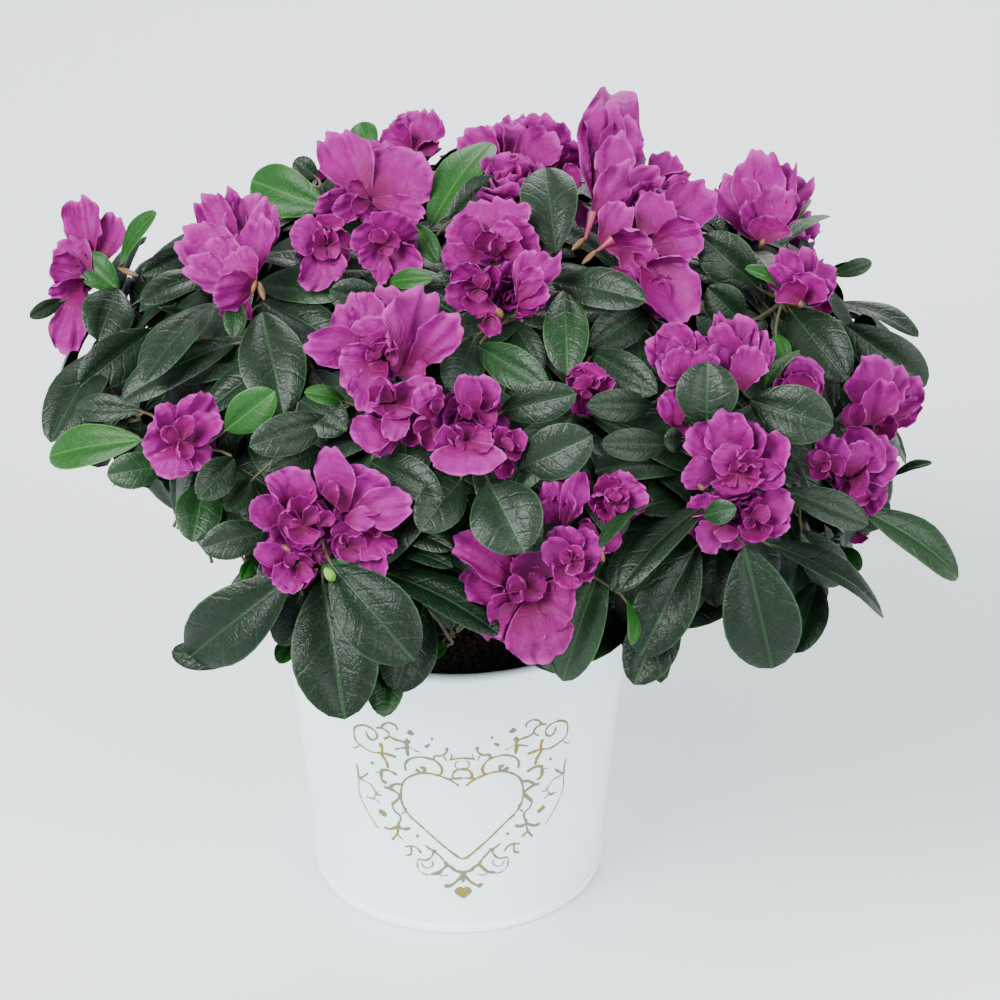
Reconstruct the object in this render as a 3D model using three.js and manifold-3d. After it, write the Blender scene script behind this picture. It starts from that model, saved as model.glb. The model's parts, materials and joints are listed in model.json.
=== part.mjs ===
// A florist's azalea in a painted sheet-metal pot: pot, compost, a short forked stem, its boughs,
// and one fused solid for each mass of twigs, leaves and double blooms. Millimetres, Z up.
// The origin is the middle of the pot's flat underside, and -Y is the front.

import * as THREE from 'three'
import { mergeVertices } from 'three/addons/utils/BufferGeometryUtils.js'
import Module from 'manifold-3d'

const wasm = await Module()
wasm.setup()

// Pot: a tapered can of sheet metal with a rolled rim and a rolled seam at its foot.
const potHeight = 125
const rimRadius = 70
const footRadius = 56
const wall = 0.8
const rimBead = 2.2
const footBead = 1.4
const footSeamHeight = 3.6
const floorThickness = 1
const potSides = 40
const compostBelowRim = 12
const compostSides = 24
const fit = 0.4

// Trunk: one woody stem that stands on the compost and forks low.
const trunkHeight = 36
const trunkFootRadius = 12
const trunkWaistRadius = 7.2
const trunkTopRadius = 7.6
const trunkLean = [3, 1]
const lowForkAt = 0.86
const highForkRadius = 3.9
const highForkLift = 0.8

// Crown: a broad flat-topped dome. Its outline is a rounded box between ball and block.
const crownCentre = new THREE.Vector3(14, 4, 190)
const crownHalfWidth = 172
const crownHalfDepth = 160
const crownRise = 104
const crownDrop = 50
const crownRoundness = 2.5

// Masses: one ring low down and one over it. Each has a bough that ends inside the crown, and
// twigs that fork off a nearby twig where that is nearer than this share of the way to the stem.
const massRings = [
  { level: 'low', count: 7, first: -6.5, rise: 10, reach: 0.4, boughFoot: 2.4 },
  { level: 'high', count: 3, first: 35, rise: 55, reach: 0.36, boughFoot: 2.05 },
]
const highMassesFrom = 43
const boughTipRadius = 1.5
const stemLength = 9
const twigRadius = 1.15
const twigTipRadius = 0.85
const twigSteps = 2
const twigSweep = 0.45
const forkWithin = 0.75
const clearance = 0.3

// Shoots: their tips lie on a shell inside the crown's outline, at least this far apart. They
// point away from a spot this far under the crown's centre, so that low ones still look up.
const bloomShell = 0.88
const leafShell = 0.82
const shootSpacing = 38
const bloomSpacing = 34
const lowestShootRise = -14
const shootTrials = 900
const evenStep = [0.754877666, 0.569840291]
const aimBelowCentre = 62
const bloomSeed = 7000
const leafSeed = 5000
const leafSeedStep = 17

// The far side, which starts at this bearing: the share of its shoots with a bloom, and the width
// of those blooms.
const hiddenSideFrom = 118
const hiddenBloomShare = 0.62
const hiddenBloomWidth = [32, 46]

// Blooms, in shares of half their width: a cup of wavy outer petals, whose edge is the second
// point of the profile, round a raised ruffled middle. Edge points are long and short in turn.
const bloomProfile = [[0, 0], [1, 0.62], [0.62, 0.72], [0.42, 1.02], [0, 0.86]]
const bloomColumns = 10
const petalReach = [1.08, 0.86]
const petalJitter = [0.92, 1.08]
const middleReach = [0.3, 0.75]
const petalDroop = 0.5
const bloomDepth = 0.33

// Leaves: thin blades of eight faces, in a whorl under each shoot's tip. Angles are in degrees.
const leafLength = [42, 56]
const leafBreadth = 0.43
const leafThickness = 1.1
const leafWidestAt = 0.58
const leafArch = 0.09
const leafFold = 0.03
const leavesUnderBloom = 5
const leavesOnShoot = 6
const leafStep = 1.4
const openUnderBloom = [80, 94]
const openOnShoot = [60, 74]
const leafJitter = [-12, 12]
const leafSag = [0.1, 0.3]
const leafSunk = 0.3
const leafFaceUp = 0.9
const leafTipShell = 1.05
const lowestLeafTip = 138
const leafPastBorder = 16

// Ways for a leaf to lie: a turn round the shoot, a tilt, and a share of its length.
const leafWays = [
  [0, 0, 1], [0, -14, 1], [22, 0, 1], [-22, 0, 1], [0, 14, 0.95],
  [14, -24, 0.9], [-14, -24, 0.9], [34, -8, 0.8], [-34, -8, 0.8], [0, -30, 0.72],
]

// Blooms in the front half: bearing from the front towards +X, rise above the crown's centre,
// width in mm, and the shell that the bloom lies on where that isn't the usual one.
const frontBlooms = [
  [-103, 16, 36, 0.97], [-87, 39, 38], [-119, 61, 48], [-66, 52, 30], [-51, 62, 32], [-161, 39, 32, 0.91],
  [174, 56, 42], [2, 73, 38], [5, 52, 34], [-24, 40, 48], [-17, 29, 32], [-4, 28, 40],
  [146, 46, 50, 0.94], [80, 56, 46], [46, 46, 34], [114, 33, 44], [78, 32, 30], [17, 32, 24],
  [37, 33, 32], [48, 32, 30], [53, 24, 28], [70, 14, 34], [55, 11, 38], [-48, 18, 34],
  [-26, 12, 40], [-18, 16, 34], [2, 3, 46], [11, 9, 26], [10, 18, 26], [18, 17, 28],
  [36, 19, 42], [34, 12, 38],
]

const degrees = THREE.MathUtils.degToRad
const up = new THREE.Vector3(0, 0, 1)

// A small repeatable dice: each seed gives the same run of numbers between 0 and 1.
function dice (seed) {
  const prime = 2147483647
  let state = (seed * 7919 + 104729) % prime
  return () => {
    state = (state * 48271) % prime
    return state / prime
  }
}

function between ([low, high], share) {
  return low + (high - low) * share
}

// The direction with this bearing and rise in degrees. Bearing 0 is the front, 90 is +X.
function direction (bearing, rise) {
  const b = degrees(bearing)
  const r = degrees(rise)
  return new THREE.Vector3(Math.sin(b) * Math.cos(r), -Math.cos(b) * Math.cos(r), Math.sin(r))
}

// How far the crown's outline lies from its centre in a direction.
function outlineReach (dir) {
  const halfHeight = dir.z > 0 ? crownRise : crownDrop
  const halves = [[dir.x, crownHalfWidth], [dir.y, crownHalfDepth], [dir.z, halfHeight]]
  const sum = halves.reduce((total, [part, half]) => total + Math.abs(part / half) ** crownRoundness, 0)
  return sum ** (-1 / crownRoundness)
}

function crownPoint (bearing, rise, share) {
  const dir = direction(bearing, rise)
  return dir.clone().multiplyScalar(outlineReach(dir) * share).add(crownCentre)
}

// How deep a point lies in the crown: 0 at its centre and 1 on its outline.
function crownLevel (point) {
  const out = point.clone().sub(crownCentre)
  return out.length() / outlineReach(out.normalize())
}

// A three.js geometry as a solid.
function solid (geometry) {
  const bare = geometry.clone()
  bare.deleteAttribute('normal')
  bare.deleteAttribute('uv')
  const merged = mergeVertices(bare, 1e-5)
  return new wasm.Manifold(new wasm.Mesh({
    numProp: 3,
    vertProperties: new Float32Array(merged.attributes.position.array),
    triVerts: new Uint32Array(merged.index.array),
  }))
}

function geometryOf (body) {
  const mesh = body.getMesh()
  const geometry = new THREE.BufferGeometry()
  geometry.setAttribute('position', new THREE.Float32BufferAttribute(mesh.vertProperties, 3))
  geometry.setIndex(Array.from(mesh.triVerts))
  geometry.computeVertexNormals()
  return geometry
}

// A limb: a closed cylinder whose rings are moved along a curve and given their own radius.
function limbGeometry (curve, sides, steps, radiusAt) {
  const geometry = new THREE.CylinderGeometry(1, 1, 1, sides, steps)
  const frames = curve.computeFrenetFrames(steps)
  const place = geometry.attributes.position
  for (let i = 0; i < place.count; i++) {
    const along = place.getY(i) + 0.5
    const ring = Math.round(along * steps)
    const radius = radiusAt(along)
    const point = curve.getPoint(along)
      .addScaledVector(frames.binormals[ring], place.getX(i) * radius)
      .addScaledVector(frames.normals[ring], place.getZ(i) * radius)
    place.setXYZ(i, point.x, point.y, point.z)
  }
  return geometry
}

function taper (from, to) {
  return along => from + (to - from) * along
}

// A leaf: an octahedron drawn out between its root and its tip, arched, with raised edges.
function leafGeometry ({ root, along, face, length }) {
  const geometry = new THREE.OctahedronGeometry(1)
  const side = along.clone().cross(face).normalize()
  const normal = side.clone().cross(along).normalize()
  const place = geometry.attributes.position
  for (let i = 0; i < place.count; i++) {
    const [x, y, z] = [place.getX(i), place.getY(i), place.getZ(i)]
    const share = leafWidestAt + y * (y > 0 ? 1 - leafWidestAt : leafWidestAt)
    const middle = 1 - Math.abs(y)
    const lift = (middle * leafArch + Math.abs(x) * leafFold) * length + z * leafThickness / 2
    const point = root.clone()
      .addScaledVector(along, share * length)
      .addScaledVector(side, x * length * leafBreadth / 2)
      .addScaledVector(normal, lift)
    place.setXYZ(i, point.x, point.y, point.z)
  }
  return geometry
}

// A double bloom on its axis, with petals that differ a little from bloom to bloom.
function bloomGeometry (seat, axis, width, roll) {
  const geometry = turned(bloomProfile, bloomColumns)
  const turn = new THREE.Quaternion().setFromUnitVectors(new THREE.Vector3(0, 1, 0), axis)
  const place = geometry.attributes.position
  const waves = Array.from({ length: bloomColumns }, (_, i) => {
    return petalReach[i % 2] * between(petalJitter, roll())
  })
  for (let i = 0; i < place.count; i++) {
    const column = Math.floor(i / bloomProfile.length)
    const onEdge = i % bloomProfile.length === 1
    const wave = waves[(onEdge ? column : column + 3) % bloomColumns]
    const spread = onEdge ? wave : middleReach[0] + middleReach[1] * wave
    const raise = onEdge ? (1 - wave) * petalDroop : 0
    const point = new THREE.Vector3(place.getX(i) * spread, place.getY(i) + raise, place.getZ(i) * spread)
      .multiplyScalar(width / 2)
      .applyQuaternion(turn)
      .add(seat)
    place.setXYZ(i, point.x, point.y, point.z)
  }
  return geometry
}

// A profile of [radius, height] pairs turned round the vertical axis of three.js.
function turned (profile, sides) {
  return new THREE.LatheGeometry(profile.map(([radius, height]) => new THREE.Vector2(radius, height)), sides)
}

// The radius of the pot's outer face at a height.
function potRadius (height) {
  return footRadius + (rimRadius - rimBead - footRadius) * height / potHeight
}

function potGeometry () {
  const beadMiddle = potHeight - rimBead
  const underBead = beadMiddle - rimBead
  const bead = [-60, 0, 60, 120, 180].map(angle => [
    potRadius(beadMiddle) + rimBead * Math.cos(degrees(angle)),
    beadMiddle + rimBead * Math.sin(degrees(angle)),
  ])
  const profile = [
    [0, 0],
    [footRadius, 0],
    [footRadius + footBead, footSeamHeight * 0.3],
    [footRadius + footBead, footSeamHeight * 0.75],
    [potRadius(footSeamHeight), footSeamHeight],
    [potRadius(underBead), underBead],
    ...bead,
    [potRadius(underBead) - wall, underBead],
    [potRadius(floorThickness) - wall, floorThickness],
    [0, floorThickness],
  ]
  return turned(profile, potSides).rotateX(Math.PI / 2)
}

// The compost fills the pot, with a rounded edge and a level top that the trunk stands on.
const compostTop = potHeight - compostBelowRim

function compostGeometry () {
  const radius = height => potRadius(height) - wall - fit
  const bottom = floorThickness + fit
  const shoulder = compostTop - 3
  const profile = [
    [0, bottom],
    [radius(bottom), bottom],
    [radius(shoulder), shoulder],
    [radius(compostTop) - 6, compostTop],
    [0, compostTop],
  ]
  return turned(profile, compostSides).rotateX(Math.PI / 2)
}

const trunkFoot = new THREE.Vector3(0, 0, compostTop + fit)
const trunkBend = new THREE.Vector3(0, 0, trunkFoot.z + trunkHeight / 2)
const trunkHead = new THREE.Vector3(trunkLean[0], trunkLean[1], trunkFoot.z + trunkHeight)
const trunkCurve = new THREE.QuadraticBezierCurve3(trunkFoot, trunkBend, trunkHead)

function trunkRadius (along) {
  const rootFlare = (trunkFootRadius - trunkWaistRadius) * Math.exp(-7 * along)
  const swelling = (trunkTopRadius - trunkWaistRadius) * along ** 2
  return trunkWaistRadius + rootFlare + swelling
}

function trunkGeometry () {
  return limbGeometry(trunkCurve, 16, 6, trunkRadius)
}

// Where a bough leaves the trunk: a low one at its side, and a high one on its head.
function boughStart (outward, onTop) {
  if (!onTop) return trunkCurve.getPoint(lowForkAt).addScaledVector(outward, trunkTopRadius + clearance)
  const lean = trunkCurve.getTangent(1)
  const across = outward.clone().projectOnPlane(lean).normalize()
  return trunkHead.clone().addScaledVector(across, highForkRadius).addScaledVector(lean, highForkLift)
}

// A low bough sets out sideways and climbs, and a high one goes up first.
function boughCurve (start, tip, outward, onTop) {
  const span = tip.distanceTo(start)
  const bend = start.clone().addScaledVector(outward, span * (onTop ? 0.1 : 0.5))
  if (onTop) bend.addScaledVector(up, span * 0.5)
  return new THREE.QuadraticBezierCurve3(start, bend, tip)
}

// Each mass, with its name, its bearing, its share of the circle and its bough.
const masses = massRings.flatMap(({ level, count, first, rise, reach, boughFoot }) => {
  return Array.from({ length: count }, (_, i) => {
    const bearing = first + i * 360 / count
    const outward = direction(bearing, 0)
    const onTop = level === 'high'
    const tip = crownPoint(bearing, rise, reach)
    const bough = boughCurve(boughStart(outward, onTop), tip, outward, onTop)
    return { name: `${level}_${i + 1}`, level, bearing, halfShare: 180 / count, bough, boughFoot }
  })
})

function boughGeometry ({ bough, boughFoot }) {
  return limbGeometry(bough, 6, 4, taper(boughFoot, boughTipRadius))
}

// How far a bearing is from the middle of a mass, in degrees.
function offBearing (mass, bearing) {
  return Math.abs((bearing - mass.bearing + 540) % 360 - 180)
}

function massOf (bearing, rise) {
  const level = rise < highMassesFrom ? 'low' : 'high'
  return masses.find(mass => mass.level === level && offBearing(mass, bearing) <= mass.halfShare)
}

// Every shoot of the crown: the blooms of the table, then tips thrown evenly at the shell and kept
// where no other is near. On the far side, which has no table, most carry a bloom.
function crownShoots () {
  const shoots = frontBlooms.map(([bearing, rise, width, shell = bloomShell]) => {
    return { bearing, rise, width, place: crownPoint(bearing, rise, shell) }
  })
  const lowest = Math.sin(degrees(lowestShootRise))
  for (let i = 0; i < shootTrials; i++) {
    const rise = THREE.MathUtils.radToDeg(Math.asin(between([lowest, 1], i * evenStep[0] % 1)))
    const bearing = between([-180, 180], i * evenStep[1] % 1)
    const roll = dice(i + 1)
    const hidden = Math.abs(bearing) > hiddenSideFrom && rise > 0
    const blooms = hidden && roll() < hiddenBloomShare
    const place = crownPoint(bearing, rise, blooms ? bloomShell : leafShell)
    const near = shoots.some(other => {
      return other.place.distanceTo(place) < (other.width ? bloomSpacing : shootSpacing)
    })
    if (!near) shoots.push({ bearing, rise, width: blooms ? between(hiddenBloomWidth, roll()) : 0, place })
  }
  return shoots.map((shoot, index) => ({ ...shoot, index }))
}

// The leaves of a shoot: a whorl round its axis, each at a level of its own, which sag a little.
// A leaf has several ways to lie, and the first that has room is taken.
function whorl ({ shoot, seat, axis, back }) {
  const roll = dice(leafSeed + shoot.index * leafSeedStep)
  const count = shoot.width ? leavesUnderBloom : leavesOnShoot
  const opening = shoot.width ? openUnderBloom : openOnShoot
  const side = axis.clone().cross(up).normalize()
  const over = side.clone().cross(axis).normalize()
  const face = axis.clone().addScaledVector(up, leafFaceUp).normalize()
  const first = 360 * roll()
  return Array.from({ length: count }, (_, i) => {
    const round = first + i * 360 / count + between(leafJitter, roll())
    const open = between(opening, roll())
    const sag = between(leafSag, roll())
    const length = between(leafLength, roll())
    return leafWays.map(([turn, tilt, share]) => {
      const angle = degrees(round + turn)
      const spread = degrees(open + tilt)
      const along = axis.clone().multiplyScalar(Math.cos(spread))
        .addScaledVector(side, Math.sin(spread) * Math.cos(angle))
        .addScaledVector(over, Math.sin(spread) * Math.sin(angle))
        .addScaledVector(up, -sag)
        .normalize()
      const root = seat.clone().addScaledVector(back, leafStep * (i + 1.5)).addScaledVector(along, -leafSunk)
      return { root, along, face, length: length * share }
    })
  })
}

// The solids of every piece so far, each with the node that it belongs to, for keeping clear.
const taken = []

function boxesApart (a, b) {
  return [0, 1, 2].some(k => a.min[k] > b.max[k] + clearance || b.min[k] > a.max[k] + clearance)
}

// Whether a body keeps its distance from every piece so far that it may not touch.
function isClear (body, mayTouch) {
  const box = body.boundingBox()
  return taken.every(other => {
    return mayTouch(other) || boxesApart(box, other.box) || body.minGap(other.body, clearance) >= clearance
  })
}

function take (body, owner) {
  taken.push({ body, owner, box: body.boundingBox() })
}

// A mass's twigs: its stem carries on from the bough's tip, and each twig forks off the nearest
// twig that is there already, or off the stem's end, and reaches up to its shoot.
function growTwigs (mass, shoots) {
  const onward = mass.bough.getTangent(1)
  const root = mass.bough.getPoint(1).addScaledVector(onward, clearance)
  const hub = root.clone().addScaledVector(onward, stemLength)
  const stem = new THREE.LineCurve3(root, hub)
  const grown = [solid(limbGeometry(stem, 3, 1, () => boughTipRadius))]
  const tips = []
  const byReach = [...shoots].sort((a, b) => a.place.distanceTo(hub) - b.place.distanceTo(hub))
  for (const shoot of byReach) {
    const axis = shoot.place.clone().sub(crownCentre).addScaledVector(up, aimBelowCentre).normalize()
    const seat = shoot.place.clone().addScaledVector(axis, -shoot.width * bloomDepth)
    const reach = seat.distanceTo(hub)
    const near = tips.filter(tip => tip.seat.distanceTo(seat) < reach * forkWithin)
      .sort((a, b) => a.seat.distanceTo(seat) - b.seat.distanceTo(seat))[0]
    const from = near ? near.route.getPoint(1 / twigSteps) : stem.getPoint(0.85)
    const bend = seat.clone().addScaledVector(axis, -twigSweep * seat.distanceTo(from))
    const route = new THREE.QuadraticBezierCurve3(from, bend, seat)
    const twig = solid(limbGeometry(route, 3, twigSteps, taper(twigRadius, twigTipRadius)))
    if (!isClear(twig, other => other.owner === mass.name)) continue
    const back = route.getPoint(1 - 1 / twigSteps).sub(seat).normalize()
    tips.push({ shoot, seat, axis, back, twig, route })
    grown.push(twig)
  }
  grown.forEach(body => take(body, mass.name))
  return { mass, grown, tips }
}

// Twigs come first and then blooms. The leaves are dealt out in turns, so that each mass has its
// share of the space where two of them meet.
function growCrown () {
  const shoots = crownShoots()
  const crowd = masses.map(mass => {
    return growTwigs(mass, shoots.filter(({ bearing, rise }) => massOf(bearing, rise) === mass))
  })
  for (const { mass, tips, grown } of crowd) {
    for (const { shoot, seat, axis } of tips.filter(tip => tip.shoot.width)) {
      const root = seat.clone().addScaledVector(axis, -twigTipRadius * 1.5)
      const bloom = solid(bloomGeometry(root, axis, shoot.width, dice(bloomSeed + shoot.index)))
      if (!isClear(bloom, other => other.owner === mass.name)) continue
      take(bloom, mass.name)
      grown.push(bloom)
    }
  }
  for (let turn = 0; turn < Math.max(leavesOnShoot, leavesUnderBloom); turn++) {
    for (const { mass, tips, grown } of crowd) {
      for (const tip of tips) {
        const ways = whorl(tip)[turn] ?? []
        const leaf = ways.filter(way => inCrown(way, mass))
          .map(way => solid(leafGeometry(way)))
          .find(body => isClear(body, other => other.body === tip.twig))
        if (!leaf) continue
        take(leaf, mass.name)
        grown.push(leaf)
      }
    }
  }
  return crowd
}

// A leaf stays in the crown's outline, over the pot's rim, and mostly in its mass's own space.
function inCrown ({ root, along, length }, mass) {
  const tip = root.clone().addScaledVector(along, length)
  return crownLevel(tip) < leafTipShell && tip.z > lowestLeafTip && pastBorder(tip, mass) < leafPastBorder
}

// How far a point lies inside the next mass's share of the circle.
function pastBorder (point, mass) {
  const out = point.clone().sub(crownCentre)
  const bearing = THREE.MathUtils.radToDeg(Math.atan2(out.x, -out.y))
  const off = THREE.MathUtils.clamp(offBearing(mass, bearing) - mass.halfShare, 0, 90)
  return Math.hypot(out.x, out.y) * Math.sin(degrees(off))
}

// Whether just two faces meet at every edge, with the corners rounded to a thousandth.
function closesCleanly (body) {
  const { vertProperties, triVerts } = body.getMesh()
  const cornerName = i => [0, 1, 2].map(k => Math.round(vertProperties[3 * i + k] * 1000)).join()
  const corners = Array.from({ length: vertProperties.length / 3 }, (_, i) => cornerName(i))
  const facesAt = new Map()
  for (let i = 0; i < triVerts.length; i += 3) {
    const face = [0, 1, 2].map(k => corners[triVerts[i + k]])
    if (new Set(face).size < 3) continue
    face.forEach((corner, k) => {
      const edge = [corner, face[(k + 1) % 3]].sort().join(' ')
      facesAt.set(edge, (facesAt.get(edge) ?? 0) + 1)
    })
  }
  return [...facesAt.values()].every(count => count === 2)
}

// One body: a piece is joined on if it holds on to the rest and leaves every edge with two faces.
function fuse (bodies) {
  return bodies.reduce((whole, body) => {
    const more = whole.add(body).simplify(0.01)
    return more.decompose().length === 1 && closesCleanly(more) ? more : whole
  })
}

const whiteEnamel = { color: 0xe4e8ea, roughness: 0.32, metalness: 0 }
const darkPeat = { color: 0x2a211b, roughness: 1, metalness: 0 }
const woodyBark = { color: 0x6b5442, roughness: 0.9, metalness: 0 }
const azaleaLeaf = { color: 0x24392b, roughness: 0.5, metalness: 0 }

const plant = new THREE.Group()

function addNode (name, geometry, look) {
  const mesh = new THREE.Mesh(geometry, new THREE.MeshStandardMaterial(look))
  mesh.name = name
  plant.add(mesh)
}

function addFirm (name, geometry, look) {
  addNode(name, geometry, look)
  take(solid(geometry), name)
}

addFirm('pot', potGeometry(), whiteEnamel)
addFirm('compost', compostGeometry(), darkPeat)
addFirm('trunk', trunkGeometry(), woodyBark)
masses.forEach(mass => addFirm(`bough_${mass.name}`, boughGeometry(mass), woodyBark))
for (const { mass, grown } of growCrown()) {
  addNode(`foliage_${mass.name}`, geometryOf(fuse(grown)), azaleaLeaf)
}

export default plant
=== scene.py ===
import json
import math
import bpy
import numpy as np
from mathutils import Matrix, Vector, noise
from mathutils.bvhtree import BVHTree

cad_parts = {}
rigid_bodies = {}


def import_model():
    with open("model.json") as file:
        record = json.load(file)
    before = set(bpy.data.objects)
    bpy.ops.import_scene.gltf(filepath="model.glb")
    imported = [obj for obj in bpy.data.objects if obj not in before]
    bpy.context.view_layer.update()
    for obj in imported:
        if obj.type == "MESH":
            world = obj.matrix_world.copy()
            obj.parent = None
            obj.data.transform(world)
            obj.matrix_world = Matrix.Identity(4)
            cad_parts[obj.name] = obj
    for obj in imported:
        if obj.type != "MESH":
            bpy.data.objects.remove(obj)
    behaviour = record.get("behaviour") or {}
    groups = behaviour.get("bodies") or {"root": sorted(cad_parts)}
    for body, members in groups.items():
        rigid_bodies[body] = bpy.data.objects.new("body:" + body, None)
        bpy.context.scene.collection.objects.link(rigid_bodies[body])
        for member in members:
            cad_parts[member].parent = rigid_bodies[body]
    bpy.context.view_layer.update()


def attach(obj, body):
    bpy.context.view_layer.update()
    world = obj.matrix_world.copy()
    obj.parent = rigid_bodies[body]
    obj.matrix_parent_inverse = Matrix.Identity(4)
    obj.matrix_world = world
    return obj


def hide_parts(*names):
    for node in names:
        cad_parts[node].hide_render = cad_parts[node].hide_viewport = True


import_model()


# Camera: a long lens held about 29 degrees above the table, square on to the pot's front.
# Lengths here and below are in millimetres, and MM turns them into Blender's metres.
MM = 0.001
camera_place = np.array([16.7, -1123.0, 790.0])
camera_pitch = math.radians(29.27)
camera_lens = 122.4
sensor_width = 36
image_width = 1000


def placed(name, data):
    """An object in the scene from its data."""
    thing = bpy.data.objects.new(name, data)
    bpy.context.scene.collection.objects.link(thing)
    return thing


camera = placed("camera", bpy.data.cameras.new("camera"))
camera.data.lens = camera_lens
camera.data.sensor_width = sensor_width
camera.data.clip_end = 20
camera.location = Vector(camera_place * MM)
camera.rotation_euler = (math.pi / 2 - camera_pitch, 0, 0)
bpy.context.scene.camera = camera


# Pot: a tapered can of thin sheet steel, sprayed and baked in glossy white enamel. Its foot is
# closed by a small rolled seam, and its rim is rolled over into a round bead.
pot_height = 125
rim_radius = 70
foot_radius = 56
wall = 0.8
rim_bead = 2.2
foot_bead = 1.4
seam_height = 3.6
pot_sides = 160


def linear(hex_colour):
    channels = [int(hex_colour[i:i + 2], 16) / 255 for i in (1, 3, 5)]
    return [c / 12.92 if c <= 0.04045 else ((c + 0.055) / 1.055) ** 2.4 for c in channels] + [1]


def add(tree, kind, inputs={}, **settings):
    node = tree.nodes.new(kind)
    for name, value in settings.items():
        setattr(node, name, value)
    for name, value in inputs.items():
        if isinstance(value, bpy.types.NodeSocket):
            tree.links.new(value, node.inputs[name])
        else:
            node.inputs[name].default_value = value
    return node


def new_material(name, **constants):
    material = bpy.data.materials.new(name)
    material.use_nodes = True
    tree = material.node_tree
    shader = tree.nodes["Principled BSDF"]
    for socket, value in constants.items():
        shader.inputs[socket.replace("_", " ")].default_value = value
    return material, tree, shader


def own_place(tree):
    return add(tree, "ShaderNodeTexCoord").outputs["Object"]


def clouds(tree, place, scale, detail=2.0, distortion=0.0):
    """How bright a soft random pattern is at each place."""
    return add(tree, "ShaderNodeTexNoise", {"Vector": place, "Scale": scale, "Detail": detail,
                                            "Distortion": distortion}).outputs["Fac"]


def tint(tree, share, low, high):
    """A colour between two others, each a hex colour or a socket."""
    ends = [linear(colour) if isinstance(colour, str) else colour for colour in (low, high)]
    return add(tree, "ShaderNodeMix", {0: share, 6: ends[0], 7: ends[1]}, data_type="RGBA").outputs[2]


def skin(tree, shader, colour, height=None, strength=0.0, depth=0.0):
    """Gives a shader its colour, and a fine relief where there is a height."""
    tree.links.new(colour, shader.inputs["Base Color"])
    if height is not None:
        bump = add(tree, "ShaderNodeBump", {"Height": height, "Strength": strength, "Distance": depth})
        tree.links.new(bump.outputs["Normal"], shader.inputs["Normal"])


def clouded_material(name, low, high, scale, detail, strength, depth, stretch=None, **constants):
    """A material whose colour and relief both follow one soft random pattern."""
    material, tree, shader = new_material(name, **constants)
    place = own_place(tree)
    if stretch:
        place = add(tree, "ShaderNodeMapping", {"Vector": place, "Scale": stretch}).outputs["Vector"]
    pattern = clouds(tree, place, scale, detail)
    skin(tree, shader, tint(tree, pattern, low, high), pattern if strength else None, strength, depth)
    return material


def finished(mesh, replaced=()):
    """Makes a finished mesh a piece of the part's one body."""
    piece = placed(mesh.name, mesh)
    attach(piece, "root")
    if replaced:
        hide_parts(*replaced)


def mesh_piece(name, points, faces, material, slot, replaced=(), uv=None, rim=None):
    """A finished piece from points in mm. Edges between two rim points are kept sharp."""
    mesh = bpy.data.meshes.new(name)
    faces = [np.asarray(group) for group in (faces if isinstance(faces, list) else [faces])]
    corners = np.concatenate([group.ravel() for group in faces])
    sizes = np.concatenate([np.full(len(group), group.shape[1]) for group in faces])
    mesh.vertices.add(len(points))
    mesh.vertices.foreach_set("co", (np.asarray(points) * MM).astype(np.float32).ravel())
    mesh.loops.add(len(corners))
    mesh.loops.foreach_set("vertex_index", corners.astype(np.int32))
    mesh.polygons.add(len(sizes))
    mesh.polygons.foreach_set("loop_start", (np.cumsum(sizes) - sizes).astype(np.int32))
    mesh.update(calc_edges=True)
    mesh.polygons.foreach_set("use_smooth", np.ones(len(sizes), bool))
    if uv is not None:
        layer = mesh.uv_layers.new(name="UVMap")
        layer.data.foreach_set("uv", uv[corners].astype(np.float32).ravel())
    if rim is not None:
        ends = np.empty(len(mesh.edges) * 2, np.int32)
        mesh.edges.foreach_get("vertices", ends)
        sharp = mesh.attributes.new("sharp_edge", "BOOLEAN", "EDGE")
        sharp.data.foreach_set("value", rim[ends.reshape(-1, 2)].all(axis=1))
    mesh.materials.append(material)
    finished(mesh, replaced)


def ring_faces(sides, rings):
    """The faces of a closed skin over rings of points, which are followed by its two end points."""
    i = np.arange(sides)
    j = (i + 1) % sides
    quads = [np.stack([i + k * sides, j + k * sides, j + (k + 1) * sides, i + (k + 1) * sides], axis=1)
             for k in range(rings - 1)]
    first = rings * sides
    last = first - sides
    caps = np.concatenate([np.stack([np.full(sides, first), j, i], axis=1),
                           np.stack([np.full(sides, first + 1), i + last, j + last], axis=1)])
    return [np.concatenate(quads), caps]


def lathe(profile, sides):
    """A closed solid of revolution round Z. The profile runs from axis to axis, bottom first."""
    ring = np.array(profile[1:-1], float)
    angle = np.arange(sides) * 2 * math.pi / sides
    points = np.stack([ring[:, None, 0] * np.cos(angle), ring[:, None, 0] * np.sin(angle),
                       ring[:, None, 1] + 0 * angle], axis=-1).reshape(-1, 3)
    points = np.vstack([points, [[0, 0, profile[0][1]], [0, 0, profile[-1][1]]]])
    return points, ring_faces(sides, len(ring))


def pot_radius(height):
    return foot_radius + (rim_radius - rim_bead - foot_radius) * height / pot_height


def arc(middle, radius, start, end, steps):
    """Points on an arc in the profile's plane, with its angles in degrees."""
    angles = np.radians(np.linspace(start, end, steps))
    return [(middle[0] + radius * math.cos(a), middle[1] + radius * math.sin(a)) for a in angles]


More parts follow.
